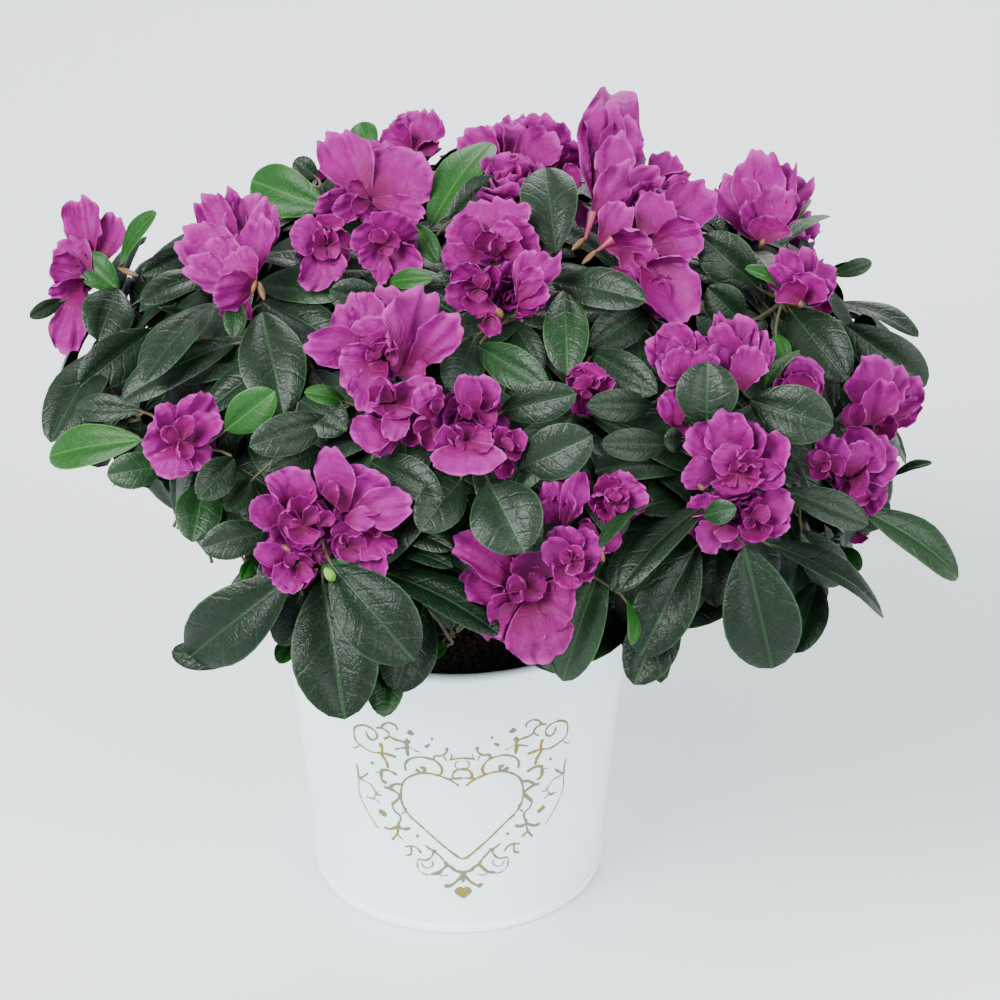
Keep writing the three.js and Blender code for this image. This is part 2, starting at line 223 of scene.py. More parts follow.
bead_middle = pot_height - rim_bead
under_bead = bead_middle - rim_bead
foot_outer = foot_radius + foot_bead
pot_profile = (
    [(0, 0), (foot_radius - 6, 0), (foot_radius, 0)]
    + arc((foot_outer - 1.2, 1.2), 1.2, -70, 0, 4)
    + [(foot_outer, seam_height - 1.1)]
    + arc((foot_outer - 1.1, seam_height - 1.1), 1.1, 20, 75, 4)
    + [(pot_radius(seam_height) + 0.05, seam_height + 0.1)]
    + [(pot_radius(h), h) for h in np.linspace(seam_height + 1.2, under_bead - 0.6, 9)]
    + arc((pot_radius(bead_middle), bead_middle), rim_bead, -68, 190, 13)
    + [(pot_radius(h) - wall, h) for h in np.linspace(under_bead, 1.8, 6)]
    + [(pot_radius(1) - wall - 1, 1), (0, 1)]
)
enamel, tree, shader = new_material("baked_white_enamel", Roughness=0.26, Coat_Weight=0.25,
                                    Coat_Roughness=0.12)
place = own_place(tree)
skin(tree, shader, tint(tree, clouds(tree, place, 22.0, 3.0), "#daf0f5", "#e5f8fc"),
     clouds(tree, place, 420.0), 0.05, 0.0006)
mesh_piece("enamelled_pot", *lathe(pot_profile, pot_sides), enamel, "enamel", ["pot"])


# Ornament: a scrollwork heart in thin antique gold paint, stamped on the pot's front and partly
# rubbed off. It is laid out flat, with its right half mirrored, and then bent round the cone.
ornament_middle = 2.6
most_lift = 0.42
proud = 0.24

# Strokes of the left half, each a weight from 1 (fine) to 4 (blot) and its points: how far
# it is from the ornament's middle and its height.
stroke_radii = {1: 0.36, 2: 0.56, 3: 0.8, 4: 1.35}
half_strokes = [
    (2, [(31.5, 84.1), (35.4, 83.3), (39.8, 84.5), (42.6, 85.8), (43.4, 89.4), (42.8, 92.5),
         (39.5, 94.8), (36.3, 95), (33.8, 93.9), (33, 91.3), (34.8, 89.3), (36.9, 90), (37.7, 92.6)]),
    (1, [(40.8, 84.7), (43.2, 82.2), (44.7, 82.5)]),
    (3, [(31.8, 88.8), (31, 86.6), (31.1, 83.7)]),
    (2, [(33.3, 95.5), (31.2, 96.2), (28.7, 95.4), (27.9, 93.3), (30, 91.2)]),
    (2, [(31.2, 96.2), (29.9, 98.4), (27.4, 99.6), (25, 98.7), (24.6, 96.9)]),
    (2, [(27.9, 93.3), (25.9, 92.3), (23.5, 92), (20.8, 91.6)]),
    (4, [(21.6, 90.9), (20.8, 92.1), (20, 93.2)]),
    (2, [(20.8, 89.2), (22.8, 88.8), (25.6, 87.6)]),
    (3, [(20.8, 91.6), (20.8, 88.7), (20.5, 85.4)]),
    (1, [(20, 89.8), (18.1, 88.7), (16.2, 88.1)]),
    (3, [(30.6, 84.4), (27.7, 84.2), (25.3, 83.9)]),
    (3, [(31.5, 84.1), (30.3, 82.1), (29.1, 80), (28.7, 77.7)]),
    (3, [(32.1, 75.7), (29.2, 76.6), (27.1, 76.2), (25.1, 75.3)]),
    (1, [(34.3, 73.9), (31.7, 74.3), (30.9, 72.6)]),
    (3, [(31.3, 75.9), (31.8, 72.9), (31, 70.7), (29.3, 70.2)]),
    (3, [(30.6, 67.9), (28.5, 68), (26.8, 70), (24.8, 71), (22.7, 71)]),
    (2, [(23.7, 64.4), (23.6, 67.9), (23.1, 70.9), (21.9, 73.6), (19.5, 76), (16, 77.8), (12.1, 78.3),
         (8.4, 77.4), (4.6, 75.7), (1.3, 72.8)]),
    (3, [(28.5, 68), (25.7, 66.9), (24.1, 65.3), (25.7, 62.5), (27.4, 60.5)]),
    (2, [(27.4, 60.5), (26.7, 57.8), (24.2, 55.5), (24.3, 53), (25.2, 50.3)]),
    (3, [(22.9, 60.7), (21.8, 59)]),
    (1, [(23.8, 56.1), (22.2, 57.9), (20.6, 56.8), (19.8, 55)]),
    (2, [(23.7, 64.4), (22.5, 59.8), (19.4, 55.6), (16.3, 52.7), (12.5, 48.8), (8.7, 44.8), (4.9, 41),
         (1.9, 38.1), (0, 37)]),
    (3, [(31.1, 48), (28.6, 47.8), (25.2, 49.8), (22.7, 49.4), (20.3, 50.5)]),
    (2, [(25.1, 52.3), (25.2, 48.8), (25.7, 46.2), (27.8, 42.6)]),
    (2, [(25.7, 46.2), (23.2, 43.9)]),
    (4, [(33.1, 55.7), (31.4, 54.8), (30.1, 53.8)]),
    (1, [(41.9, 68.1), (42.1, 62.1), (40.9, 57.6), (38.2, 52.8), (35.6, 48.9), (33.4, 46.2)]),
    (2, [(37.5, 72.3), (39.4, 70.1), (41.9, 68.1), (42.2, 71.4), (43, 74.9)]),
    (1, [(41.9, 68.1), (39.5, 67.6), (36.8, 67.2), (35, 65.4), (34.2, 63.2), (31.6, 63.6)]),
    (1, [(33.3, 65), (34.2, 63.2), (35.6, 60.2), (38.8, 60.5)]),
    (1, [(37, 60.7), (34.7, 60.6), (32.6, 59.4)]),
    (2, [(21.4, 78.1), (21.8, 80.9), (20.5, 83.5), (18.6, 84.8), (15.9, 85.8), (13.2, 85.6),
         (10.6, 84.9), (8.7, 83.2), (7.6, 80.9), (8, 78.4), (9.9, 77.8)]),
    (3, [(17.5, 79.8), (16.3, 78.5), (14.4, 78.8), (14.4, 80.7), (15.9, 80.5)]),
    (2, [(10.6, 84.9), (10.2, 86.9), (7.9, 87), (6, 88.6), (5.6, 90.5)]),
    (1, [(6.8, 87.1), (5.7, 84.3)]),
    (2, [(4.9, 85.3), (2.7, 85.8), (0, 86.2)]),
    (1, [(4.2, 85.3), (3.8, 88.1)]),
    (1, [(1.2, 84.8), (2.5, 83.9), (2.5, 81.9), (1.2, 81), (0, 81.4)]),
    (2, [(0, 80.5), (2, 80.5), (3.5, 78.6), (3.5, 76.2)]),
    (2, [(5, 76.2), (2.4, 76.4), (0, 76.6)]),
    (4, [(13.5, 91.8), (12.7, 90.9)]),
    (3, [(11.6, 94.8), (10.8, 94.9)]),
    (4, [(20.3, 97.4), (19.2, 96.6), (18.4, 97.2)]),
    (3, [(6, 90), (5.2, 91)]),
    (3, [(36, 77.7), (34.7, 78.2)]),
    (3, [(18, 47), (16.8, 47.2)]),
    (2, [(22.5, 40.6), (20.1, 41.6), (17.7, 41.1), (16.1, 38.9)]),
    (2, [(20.1, 41.6), (20.1, 37.6), (22.2, 36.6)]),
    (2, [(14.5, 43.1), (12.6, 41.4), (11.1, 40.6), (12.2, 37.5), (14.2, 35.7), (17.4, 35.7)]),
    (4, [(11.4, 41.1), (10.7, 40.1)]),
    (2, [(11.1, 40.6), (8.8, 38.3), (6.9, 35.5)]),
    (3, [(6.9, 36), (6.1, 34), (4.6, 33.1), (2.7, 31.1), (0, 30.5)]),
    (3, [(6.1, 34), (7.7, 31.9), (9.6, 29.8), (12.4, 29)]),
    (1, [(9.6, 29.8), (8.1, 28.4), (5.8, 29)]),
    (1, [(17.4, 35.2), (17.6, 32.1), (16.7, 29.8), (14.7, 28.6), (12, 28.5)]),
    (1, [(16.2, 34.4), (15, 32.1), (13.1, 31.9), (11.5, 33.6), (11.9, 35.5)]),
    (3, [(0, 30), (1.6, 27.1), (3.9, 24.5), (6.6, 22.9)]),
    (4, [(7, 22.9), (5.8, 24)]),
    (3, [(0, 30), (0, 25.5)]),
]
heart_seal = [[(-2.7, 22.4, 0.5), (-2.1, 22.0, 2.0), (-1.0, 20.4, 2.1), (0, 17.6, 0.6)],
              [(2.7, 22.4, 0.5), (2.1, 22.0, 2.0), (1.0, 20.4, 2.1), (0, 17.6, 0.6)],
              [(0, 31, 1.0), (0, 29.4, 1.3)]]


def smoothed(points, steps=4):
    """A smooth curve through the points."""
    p = np.array([points[0], *points, points[-1]], float)
    t = np.arange(steps)[:, None] / steps
    parts = [0.5 * (2 * b + (c - a) * t + (2 * a - 5 * b + 4 * c - d) * t ** 2
                    + (3 * b - a - 3 * c + d) * t ** 3) for a, b, c, d in zip(p, p[1:], p[2:], p[3:])]
    return np.vstack([*parts, p[-1:]])


def new_curve(name):
    curve = bpy.data.curves.new(name, "CURVE")
    curve.dimensions = "3D"
    return curve


def add_path(curve, points, radii, scale=MM):
    """A path of points and radii, in mm unless another scale is given, as a poly spline."""
    spline = curve.splines.new("POLY")
    spline.points.add(len(points) - 1)
    for point, (x, y, z), radius in zip(spline.points, points, radii):
        point.co = (x * scale, y * scale, z * scale, 1)
        point.radius = radius * scale


drawing = new_curve("scrollwork")
for hand in (-1, 1):
    for weight, points in half_strokes:
        path = smoothed(points)
        radii = []
        for k, (x, z) in enumerate(path):
            worn = 0.85 + 0.5 * noise.noise(Vector((x, z, 9 * hand)) * 0.45)
            ends = 0.72 if k in (0, len(path) - 1) else 1
            radii.append(stroke_radii[weight] * worn * ends)
        add_path(drawing, [(ornament_middle + hand * x, z, 0) for x, z in path], radii, 1)
for seal in heart_seal:
    add_path(drawing, [(ornament_middle + x, z, 0) for x, z, _ in seal], [stop[2] for stop in seal], 1)

gold, tree, shader = new_material("rubbed_gold_paint", Roughness=0.5, Metallic=0.35)
rubbed = clouds(tree, own_place(tree), 85.0, 3.0)
patch = add(tree, "ShaderNodeMapRange", {"Value": rubbed, "From Min": 0.46, "From Max": 0.62})
skin(tree, shader, tint(tree, patch.outputs["Result"], "#6a6c58", "#80701c"), rubbed, 0.3, 0.0002)


def new_group(name, inputs):
    """A geometry node group with inputs of these kinds, and its input sockets."""
    group = bpy.data.node_groups.new(name, "GeometryNodeTree")
    for label, kind in inputs.items():
        group.interface.new_socket(label, in_out="INPUT", socket_type="NodeSocket" + kind)
    group.interface.new_socket("Geometry", in_out="OUTPUT", socket_type="NodeSocketGeometry")
    return group, add(group, "NodeGroupInput").outputs


def tube_tree():
    """Geometry nodes that give every spline a round section of its own radius."""
    group, given = new_group("round_strokes", {"Geometry": "Geometry", "Sides": "Int", "Surface": "Material"})
    section = add(group, "GeometryNodeCurvePrimitiveCircle", {"Resolution": given["Sides"], "Radius": 1.0})
    radius = add(group, "GeometryNodeInputRadius")
    swept = add(group, "GeometryNodeCurveToMesh", {
        "Curve": given["Geometry"], "Profile Curve": section.outputs["Curve"],
        "Scale": radius.outputs["Radius"], "Fill Caps": True})
    real = add(group, "GeometryNodeRealizeInstances", {"Geometry": swept.outputs["Mesh"]})
    smooth = add(group, "GeometryNodeSetShadeSmooth", {"Geometry": real.outputs["Geometry"]})
    surfaced = add(group, "GeometryNodeSetMaterial", {
        "Geometry": smooth.outputs["Geometry"], "Material": given["Surface"]})
    add(group, "NodeGroupOutput", {"Geometry": surfaced.outputs["Geometry"]})
    return group


def made_by_nodes(name, data, group, values):
    """Runs a node group on a curve or mesh, and returns the plain mesh that it makes."""
    source = placed(name + "_source", data)
    modifier = source.modifiers.new("shape", "NODES")
    modifier.node_group = group
    sockets = {item.name: item.identifier for item in group.interface.items_tree if item.in_out == "INPUT"}
    for label, value in values.items():
        modifier[sockets[label]] = value
    source.update_tag()
    depsgraph = bpy.context.evaluated_depsgraph_get()
    mesh = bpy.data.meshes.new_from_object(source.evaluated_get(depsgraph))
    mesh.name = name
    bpy.data.objects.remove(source)
    return mesh


tubes = tube_tree()
strokes = made_by_nodes("gold_scrollwork", drawing, tubes, {"Sides": 8, "Surface": gold})
for vertex in strokes.vertices:
    x, height, lift = vertex.co
    radius = pot_radius(height) + np.clip(lift, -most_lift, most_lift) * proud / most_lift
    vertex.co = Vector((radius * math.sin(x / radius), -radius * math.cos(x / radius), height)) * MM
finished(strokes)


# Compost: moist dark peat that fills the pot, with a crumbly level top. The crumbs are scattered
# over the top by Geometry Nodes from a fixed seed.
compost_below_rim = 12
compost_top = pot_height - compost_below_rim
fit = 0.4


def compost_radius(height):
    return pot_radius(height) - wall - fit


peat = clouded_material("moist_peat", "#15100c", "#3a2c22", 260.0, 6.0, 0.8, 0.001, Roughness=0.95)

compost_sides = [(compost_radius(height), height) for height in (1.4, 60, compost_top - 3)]
compost_profile = [(0, 1.4), *compost_sides, (compost_radius(compost_top) - 2, compost_top - 0.9),
                   *[(radius, compost_top) for radius in (58, 48, 38, 28, 18, 9, 0)]]
bed_points, bed_faces = lathe(compost_profile, 72)
for point in bed_points:
    if point[2] > compost_top - 1 and math.hypot(point[0], point[1]) > 14:
        point[2] += 0.9 * noise.noise(Vector(point * 0.11)) - 0.5
mesh_piece("compost_bed", bed_points, bed_faces, peat, "compost", ["compost"])


def crumb_tree():
    """Geometry nodes that scatter small turned crumbs over a disc."""
    group, given = new_group("crumbs", {
        "Geometry": "Geometry", "Radius": "Float", "Crumb": "Float", "Density": "Float", "Seed": "Int",
        "Surface": "Material"})
    disc = add(group, "GeometryNodeMeshCircle", {"Radius": given["Radius"], "Vertices": 48}, fill_type="NGON")
    spots = add(group, "GeometryNodeDistributePointsOnFaces", {
        "Mesh": disc.outputs["Mesh"], "Density": given["Density"], "Seed": given["Seed"]})
    crumb = add(group, "GeometryNodeMeshIcoSphere", {"Radius": given["Crumb"], "Subdivisions": 1})
    turn = add(group, "FunctionNodeRandomValue", {"Max": (6.28, 6.28, 6.28), "Seed": given["Seed"]},
               data_type="FLOAT_VECTOR")
    size = add(group, "FunctionNodeRandomValue", {"Min": (0.4, 0.5, 0.3), "Max": (1.5, 1.1, 0.8), "Seed": 3},
               data_type="FLOAT_VECTOR")
    spread = add(group, "GeometryNodeInstanceOnPoints", {
        "Points": spots.outputs["Points"], "Instance": crumb.outputs["Mesh"],
        "Rotation": turn.outputs["Value"], "Scale": size.outputs["Value"]})
    real = add(group, "GeometryNodeRealizeInstances", {"Geometry": spread.outputs["Instances"]})
    surfaced = add(group, "GeometryNodeSetMaterial", {
        "Geometry": real.outputs["Geometry"], "Material": given["Surface"]})
    add(group, "NodeGroupOutput", {"Geometry": surfaced.outputs["Geometry"]})
    return group


crumbs = made_by_nodes("compost_crumbs", bpy.data.meshes.new("nothing"), crumb_tree(), {
    "Radius": 61 * MM, "Crumb": 1.5 * MM, "Density": 130000.0, "Seed": 4, "Surface": peat})
for vertex in crumbs.vertices:
    vertex.co.z += (compost_top + 0.1) * MM
finished(crumbs)


# Trunk and boughs: one short woody stem that flares at the compost and forks low into ten boughs.
# The grey-brown bark is ridged along the stem and cracked across it.
trunk_height = 36
trunk_foot_radius = 12
trunk_waist_radius = 7.2
trunk_top_radius = 7.6
trunk_lean = (3, 1)
low_fork_at = 0.86
high_fork_radius = 3.9
high_fork_lift = 0.8
bough_tip_radius = 1.5
clearance = 0.3
crown_centre = np.array([14.0, 4.0, 190.0])
crown_half_width = 172
crown_half_depth = 160
crown_rise = 104
crown_drop = 50
crown_roundness = 2.5
mass_rings = [
    {"level": "low", "count": 7, "first": -6.5, "rise": 10, "reach": 0.4, "bough_foot": 2.4},
    {"level": "high", "count": 3, "first": 35, "rise": 55, "reach": 0.36, "bough_foot": 2.05},
]
up = np.array([0.0, 0.0, 1.0])


def unit(vector):
    return vector / np.linalg.norm(vector, axis=-1, keepdims=True)


def direction(bearing, rise):
    """Bearing 0 is the front and 90 is +X. Both angles are in degrees."""
    b, r = math.radians(bearing), math.radians(rise)
    return np.array([math.sin(b) * math.cos(r), -math.cos(b) * math.cos(r), math.sin(r)])


def outline_reach(out):
    """How far the crown's outline, a rounded box between ball and block, lies in a direction."""
    half_height = crown_rise if out[2] > 0 else crown_drop
    shares = np.abs(out / (crown_half_width, crown_half_depth, half_height))
    return (shares ** crown_roundness).sum() ** (-1 / crown_roundness)


def crown_point(bearing, rise, share):
    out = direction(bearing, rise)
    return out * outline_reach(out) * share + crown_centre


def crown_level(point):
    out = point - crown_centre
    return np.linalg.norm(out) / outline_reach(unit(out))


def bezier(a, b, c, t):
    t = np.asarray(t, float)[..., None]
    return (1 - t) ** 2 * a + 2 * t * (1 - t) * b + t ** 2 * c


trunk_foot = np.array([0, 0, compost_top + fit])
trunk_bend = trunk_foot + (0, 0, trunk_height / 2)
trunk_head = trunk_foot + (*trunk_lean, trunk_height)


def bough_start(outward, on_top):
    if not on_top:
        fork = bezier(trunk_foot, trunk_bend, trunk_head, low_fork_at)
        return fork + outward * (trunk_top_radius + clearance)
    lean = unit(trunk_head - trunk_bend)
    across = unit(outward - lean * (outward @ lean))
    return trunk_head + across * high_fork_radius + lean * high_fork_lift


def bough_bend(start, tip, outward, on_top):
    span = np.linalg.norm(tip - start)
    if on_top:
        return start + outward * span * 0.1 + up * span * 0.5
    return start + outward * span * 0.5


masses = []
for ring in mass_rings:
    for i in range(ring["count"]):
        bearing = ring["first"] + i * 360 / ring["count"]
        outward = direction(bearing, 0)
        on_top = ring["level"] == "high"
        start = bough_start(outward, on_top)
        tip = crown_point(bearing, ring["rise"], ring["reach"])
        masses.append({"name": f"{ring['level']}_{i + 1}", "level": ring["level"], "bearing": bearing,
                       "half_share": 180 / ring["count"], "bough_foot": ring["bough_foot"],
                       "route": (start, bough_bend(start, tip, outward, on_top), tip)})


def limb(route, radii, sides, steps, relief, seed):
    """A closed limb along a bezier. Its skin is pushed out and in by ridges that run along it."""
    t = np.linspace(0, 1, steps + 1)
    spine = bezier(*route, t)
    tangents = unit(np.gradient(spine, axis=0))
    side = unit(np.cross(tangents[0], [0.3, 1, 0.1]))
    rings = []
    for k, (centre, tangent) in enumerate(zip(spine, tangents)):
        side = unit(side - tangent * (side @ tangent))
        other = np.cross(tangent, side)
        for s in range(sides):
            angle = 2 * math.pi * s / sides
            out = side * math.cos(angle) + other * math.sin(angle)
            grain = Vector((math.cos(angle) * 2.6 + seed, math.sin(angle) * 2.6, k * 0.16))
            ridge = noise.noise(grain) + 0.5 * noise.noise(grain * 2.7)
            rings.append(centre + out * radii(t[k]) * (1 + relief * ridge))
    return np.array(rings + [spine[0], spine[-1]]), ring_faces(sides, steps + 1)


def join(parts):
    """Joins (points, [face groups]) pairs that all have the same kinds of faces."""
    offsets = np.cumsum([0] + [len(points) for points, _ in parts])
    groups = [np.concatenate([faces[g] + offset for (_, faces), offset in zip(parts, offsets)])
              for g in range(len(parts[0][1]))]
    return np.vstack([points for points, _ in parts]), groups


def trunk_radius(along):
    flare = (trunk_foot_radius - trunk_waist_radius) * math.exp(-7 * along)
    return trunk_waist_radius + flare + (trunk_top_radius - trunk_waist_radius) * along ** 2


bark = clouded_material("grey_brown_bark", "#3f3024", "#8a705a", 420.0, 6.0, 0.7, 0.0008, (1, 1, 0.35),
                        Roughness=0.88)

mesh_piece("trunk_bark", *limb((trunk_foot, trunk_bend, trunk_head), trunk_radius, 40, 36, 0.09, 0.0),
           bark, "bark", ["trunk"])
boughs = [limb(mass["route"], lambda t, foot=mass["bough_foot"]: foot + (bough_tip_radius - foot) * t,
               14, 22, 0.12, 7.0 + i) for i, mass in enumerate(masses)]
mesh_piece("boughs_bark", *join(boughs), bark, "bark", [f"bough_{mass['name']}" for mass in masses])


# Twigs: each mass carries on from its bough's tip as a short stem and forks, twig by twig, to the
# shoots that hold the leaves and blooms. Their positions follow the same seeded rule as the solids.
high_masses_from = 43
stem_length = 9
twig_radius = 1.15
twig_tip_radius = 0.85
twig_sweep = 0.45
fork_within = 0.75
bloom_shell = 0.88
leaf_shell = 0.82
shoot_spacing = 38
bloom_spacing = 34
lowest_shoot_rise = -14
shoot_trials = 900
even_step = (0.754877666, 0.569840291)
aim_below_centre = 62
hidden_side_from = 118
hidden_bloom_share = 0.62
hidden_bloom_width = (32, 46)
bloom_depth = 0.33

# Blooms in the front half: bearing, rise, width in mm, and the shell where it isn't the usual one.
front_blooms = [
    (-103, 16, 36, 0.97), (-87, 39, 38), (-119, 61, 48), (-66, 52, 30), (-51, 62, 32), (-161, 39, 32, 0.91),
    (174, 56, 42), (2, 73, 38), (5, 52, 34), (-24, 40, 48), (-17, 29, 32), (-4, 28, 40),
    (146, 46, 50, 0.94), (80, 56, 46), (46, 46, 34), (114, 33, 44), (78, 32, 30), (17, 32, 24),
    (37, 33, 32), (48, 32, 30), (53, 24, 28), (70, 14, 34), (55, 11, 38), (-48, 18, 34),
    (-26, 12, 40), (-18, 16, 34), (2, 3, 46), (11, 9, 26), (10, 18, 26), (18, 17, 28),
    (36, 19, 42), (34, 12, 38),
]


def dice(seed):
    """A small repeatable dice: each seed gives the same run of numbers between 0 and 1."""
    prime = 2147483647
    state = (seed * 7919 + 104729) % prime

    def roll():
        nonlocal state
        state = state * 48271 % prime
        return state / prime
    return roll


def between(ends, share):
    return ends[0] + (ends[1] - ends[0]) * share


def mass_of(bearing, rise):
    level = "low" if rise < high_masses_from else "high"
    for mass in masses:
        off = abs((bearing - mass["bearing"] + 540) % 360 - 180)
        if mass["level"] == level and off <= mass["half_share"]:
            return mass


def crown_shoots():
    shoots = []
    for bearing, rise, width, *shell in front_blooms:
        place = crown_point(bearing, rise, shell[0] if shell else bloom_shell)
        shoots.append({"bearing": bearing, "rise": rise, "width": width, "place": place})
    lowest = math.sin(math.radians(lowest_shoot_rise))
    for i in range(shoot_trials):
        rise = math.degrees(math.asin(between((lowest, 1), i * even_step[0] % 1)))
        bearing = between((-180, 180), i * even_step[1] % 1)
        roll = dice(i + 1)
        hidden = abs(bearing) > hidden_side_from and rise > 0
        blooms = hidden and roll() < hidden_bloom_share
        place = crown_point(bearing, rise, bloom_shell if blooms else leaf_shell)
        if any(np.linalg.norm(other["place"] - place) < (bloom_spacing if other["width"] else shoot_spacing)
               for other in shoots):
            continue
        width = between(hidden_bloom_width, roll()) if blooms else 0
        shoots.append({"bearing": bearing, "rise": rise, "width": width, "place": place})
    for index, shoot in enumerate(shoots):
        shoot["index"] = index
        shoot["mass"] = mass_of(shoot["bearing"], shoot["rise"])
        shoot["axis"] = unit(shoot["place"] - crown_centre + up * aim_below_centre)
        shoot["seat"] = shoot["place"] - shoot["axis"] * shoot["width"] * bloom_depth
    return shoots


shoots = crown_shoots()
twig_paths = []
for mass in masses:
    _, bend, tip = mass["route"]
    onward = unit(tip - bend)
    root = tip + onward * clearance
    hub = root + onward * stem_length
    twig_paths.append(((root, hub), (bough_tip_radius, bough_tip_radius)))
    grown = []
    held = [shoot for shoot in shoots if shoot["mass"] is mass]
    for shoot in sorted(held, key=lambda s: np.linalg.norm(s["place"] - hub)):
        seat = shoot["seat"]
        reach = np.linalg.norm(seat - hub)
        near = min(grown, key=lambda other: np.linalg.norm(other["seat"] - seat), default=None)
        forks = near is not None and np.linalg.norm(near["seat"] - seat) < reach * fork_within
        start = bezier(*near["route"], 0.5) if forks else root + (hub - root) * 0.85
        bend = seat - shoot["axis"] * twig_sweep * np.linalg.norm(seat - start)
        shoot["route"] = (start, bend, seat)
        shoot["back"] = unit(bezier(start, bend, seat, 0.5) - seat)
        shoot["parent"] = near if forks else None
        shoot["order"] = len(grown)
        shoot["used"] = 1.0 if shoot["width"] else 0
        grown.append(shoot)


# Leaves: leathery dark green blades 35 to 60 mm long, in whorls round each shoot. The ones that
# face the photograph's camera are laid where it shows them, and the rest follow the whorls' rule.
leaf_length = (38, 56)
leaf_breadth = 0.43
leaf_thickness = 0.45
leaf_widest_at = 1.27
leaf_fullness = 0.54
leaf_vault = 0.3
leaf_seed = 5000
leaf_seed_step = 17
leaf_face_up = 0.9
leaf_tip_shell = 1.05
lowest_leaf_tip = 138
stalk_length = 3.2
stalk_radii = (0.75, 0.6, 0.55, 0.4)
golden_turn = 137.5

# Leaves laid from the photograph: how far in their roots lie and how steeply they may run, as
# shares, their arch, their least breadth, and how much of a thing's breadth stays uncovered.
seen_root_depth = 0.1
seen_slope = 0.75
seen_arch = 0.055
least_breadth = 0.38
uncovered_share = 0.42

# A ball that stands for a bloom: its radius and its lift, as shares of the bloom's width.
ball_share = 0.4
ball_lift = 0.42

# Ways for a leaf to lie: a turn round the shoot, a tilt, and a share of its length.
leaf_ways = [
    (0, 0, 1), (0, -14, 1), (22, 0, 1), (-22, 0, 1), (0, 14, 0.95),
    (14, -24, 0.9), (-14, -24, 0.9), (34, -8, 0.8), (-34, -8, 0.8), (0, -30, 0.72),
]

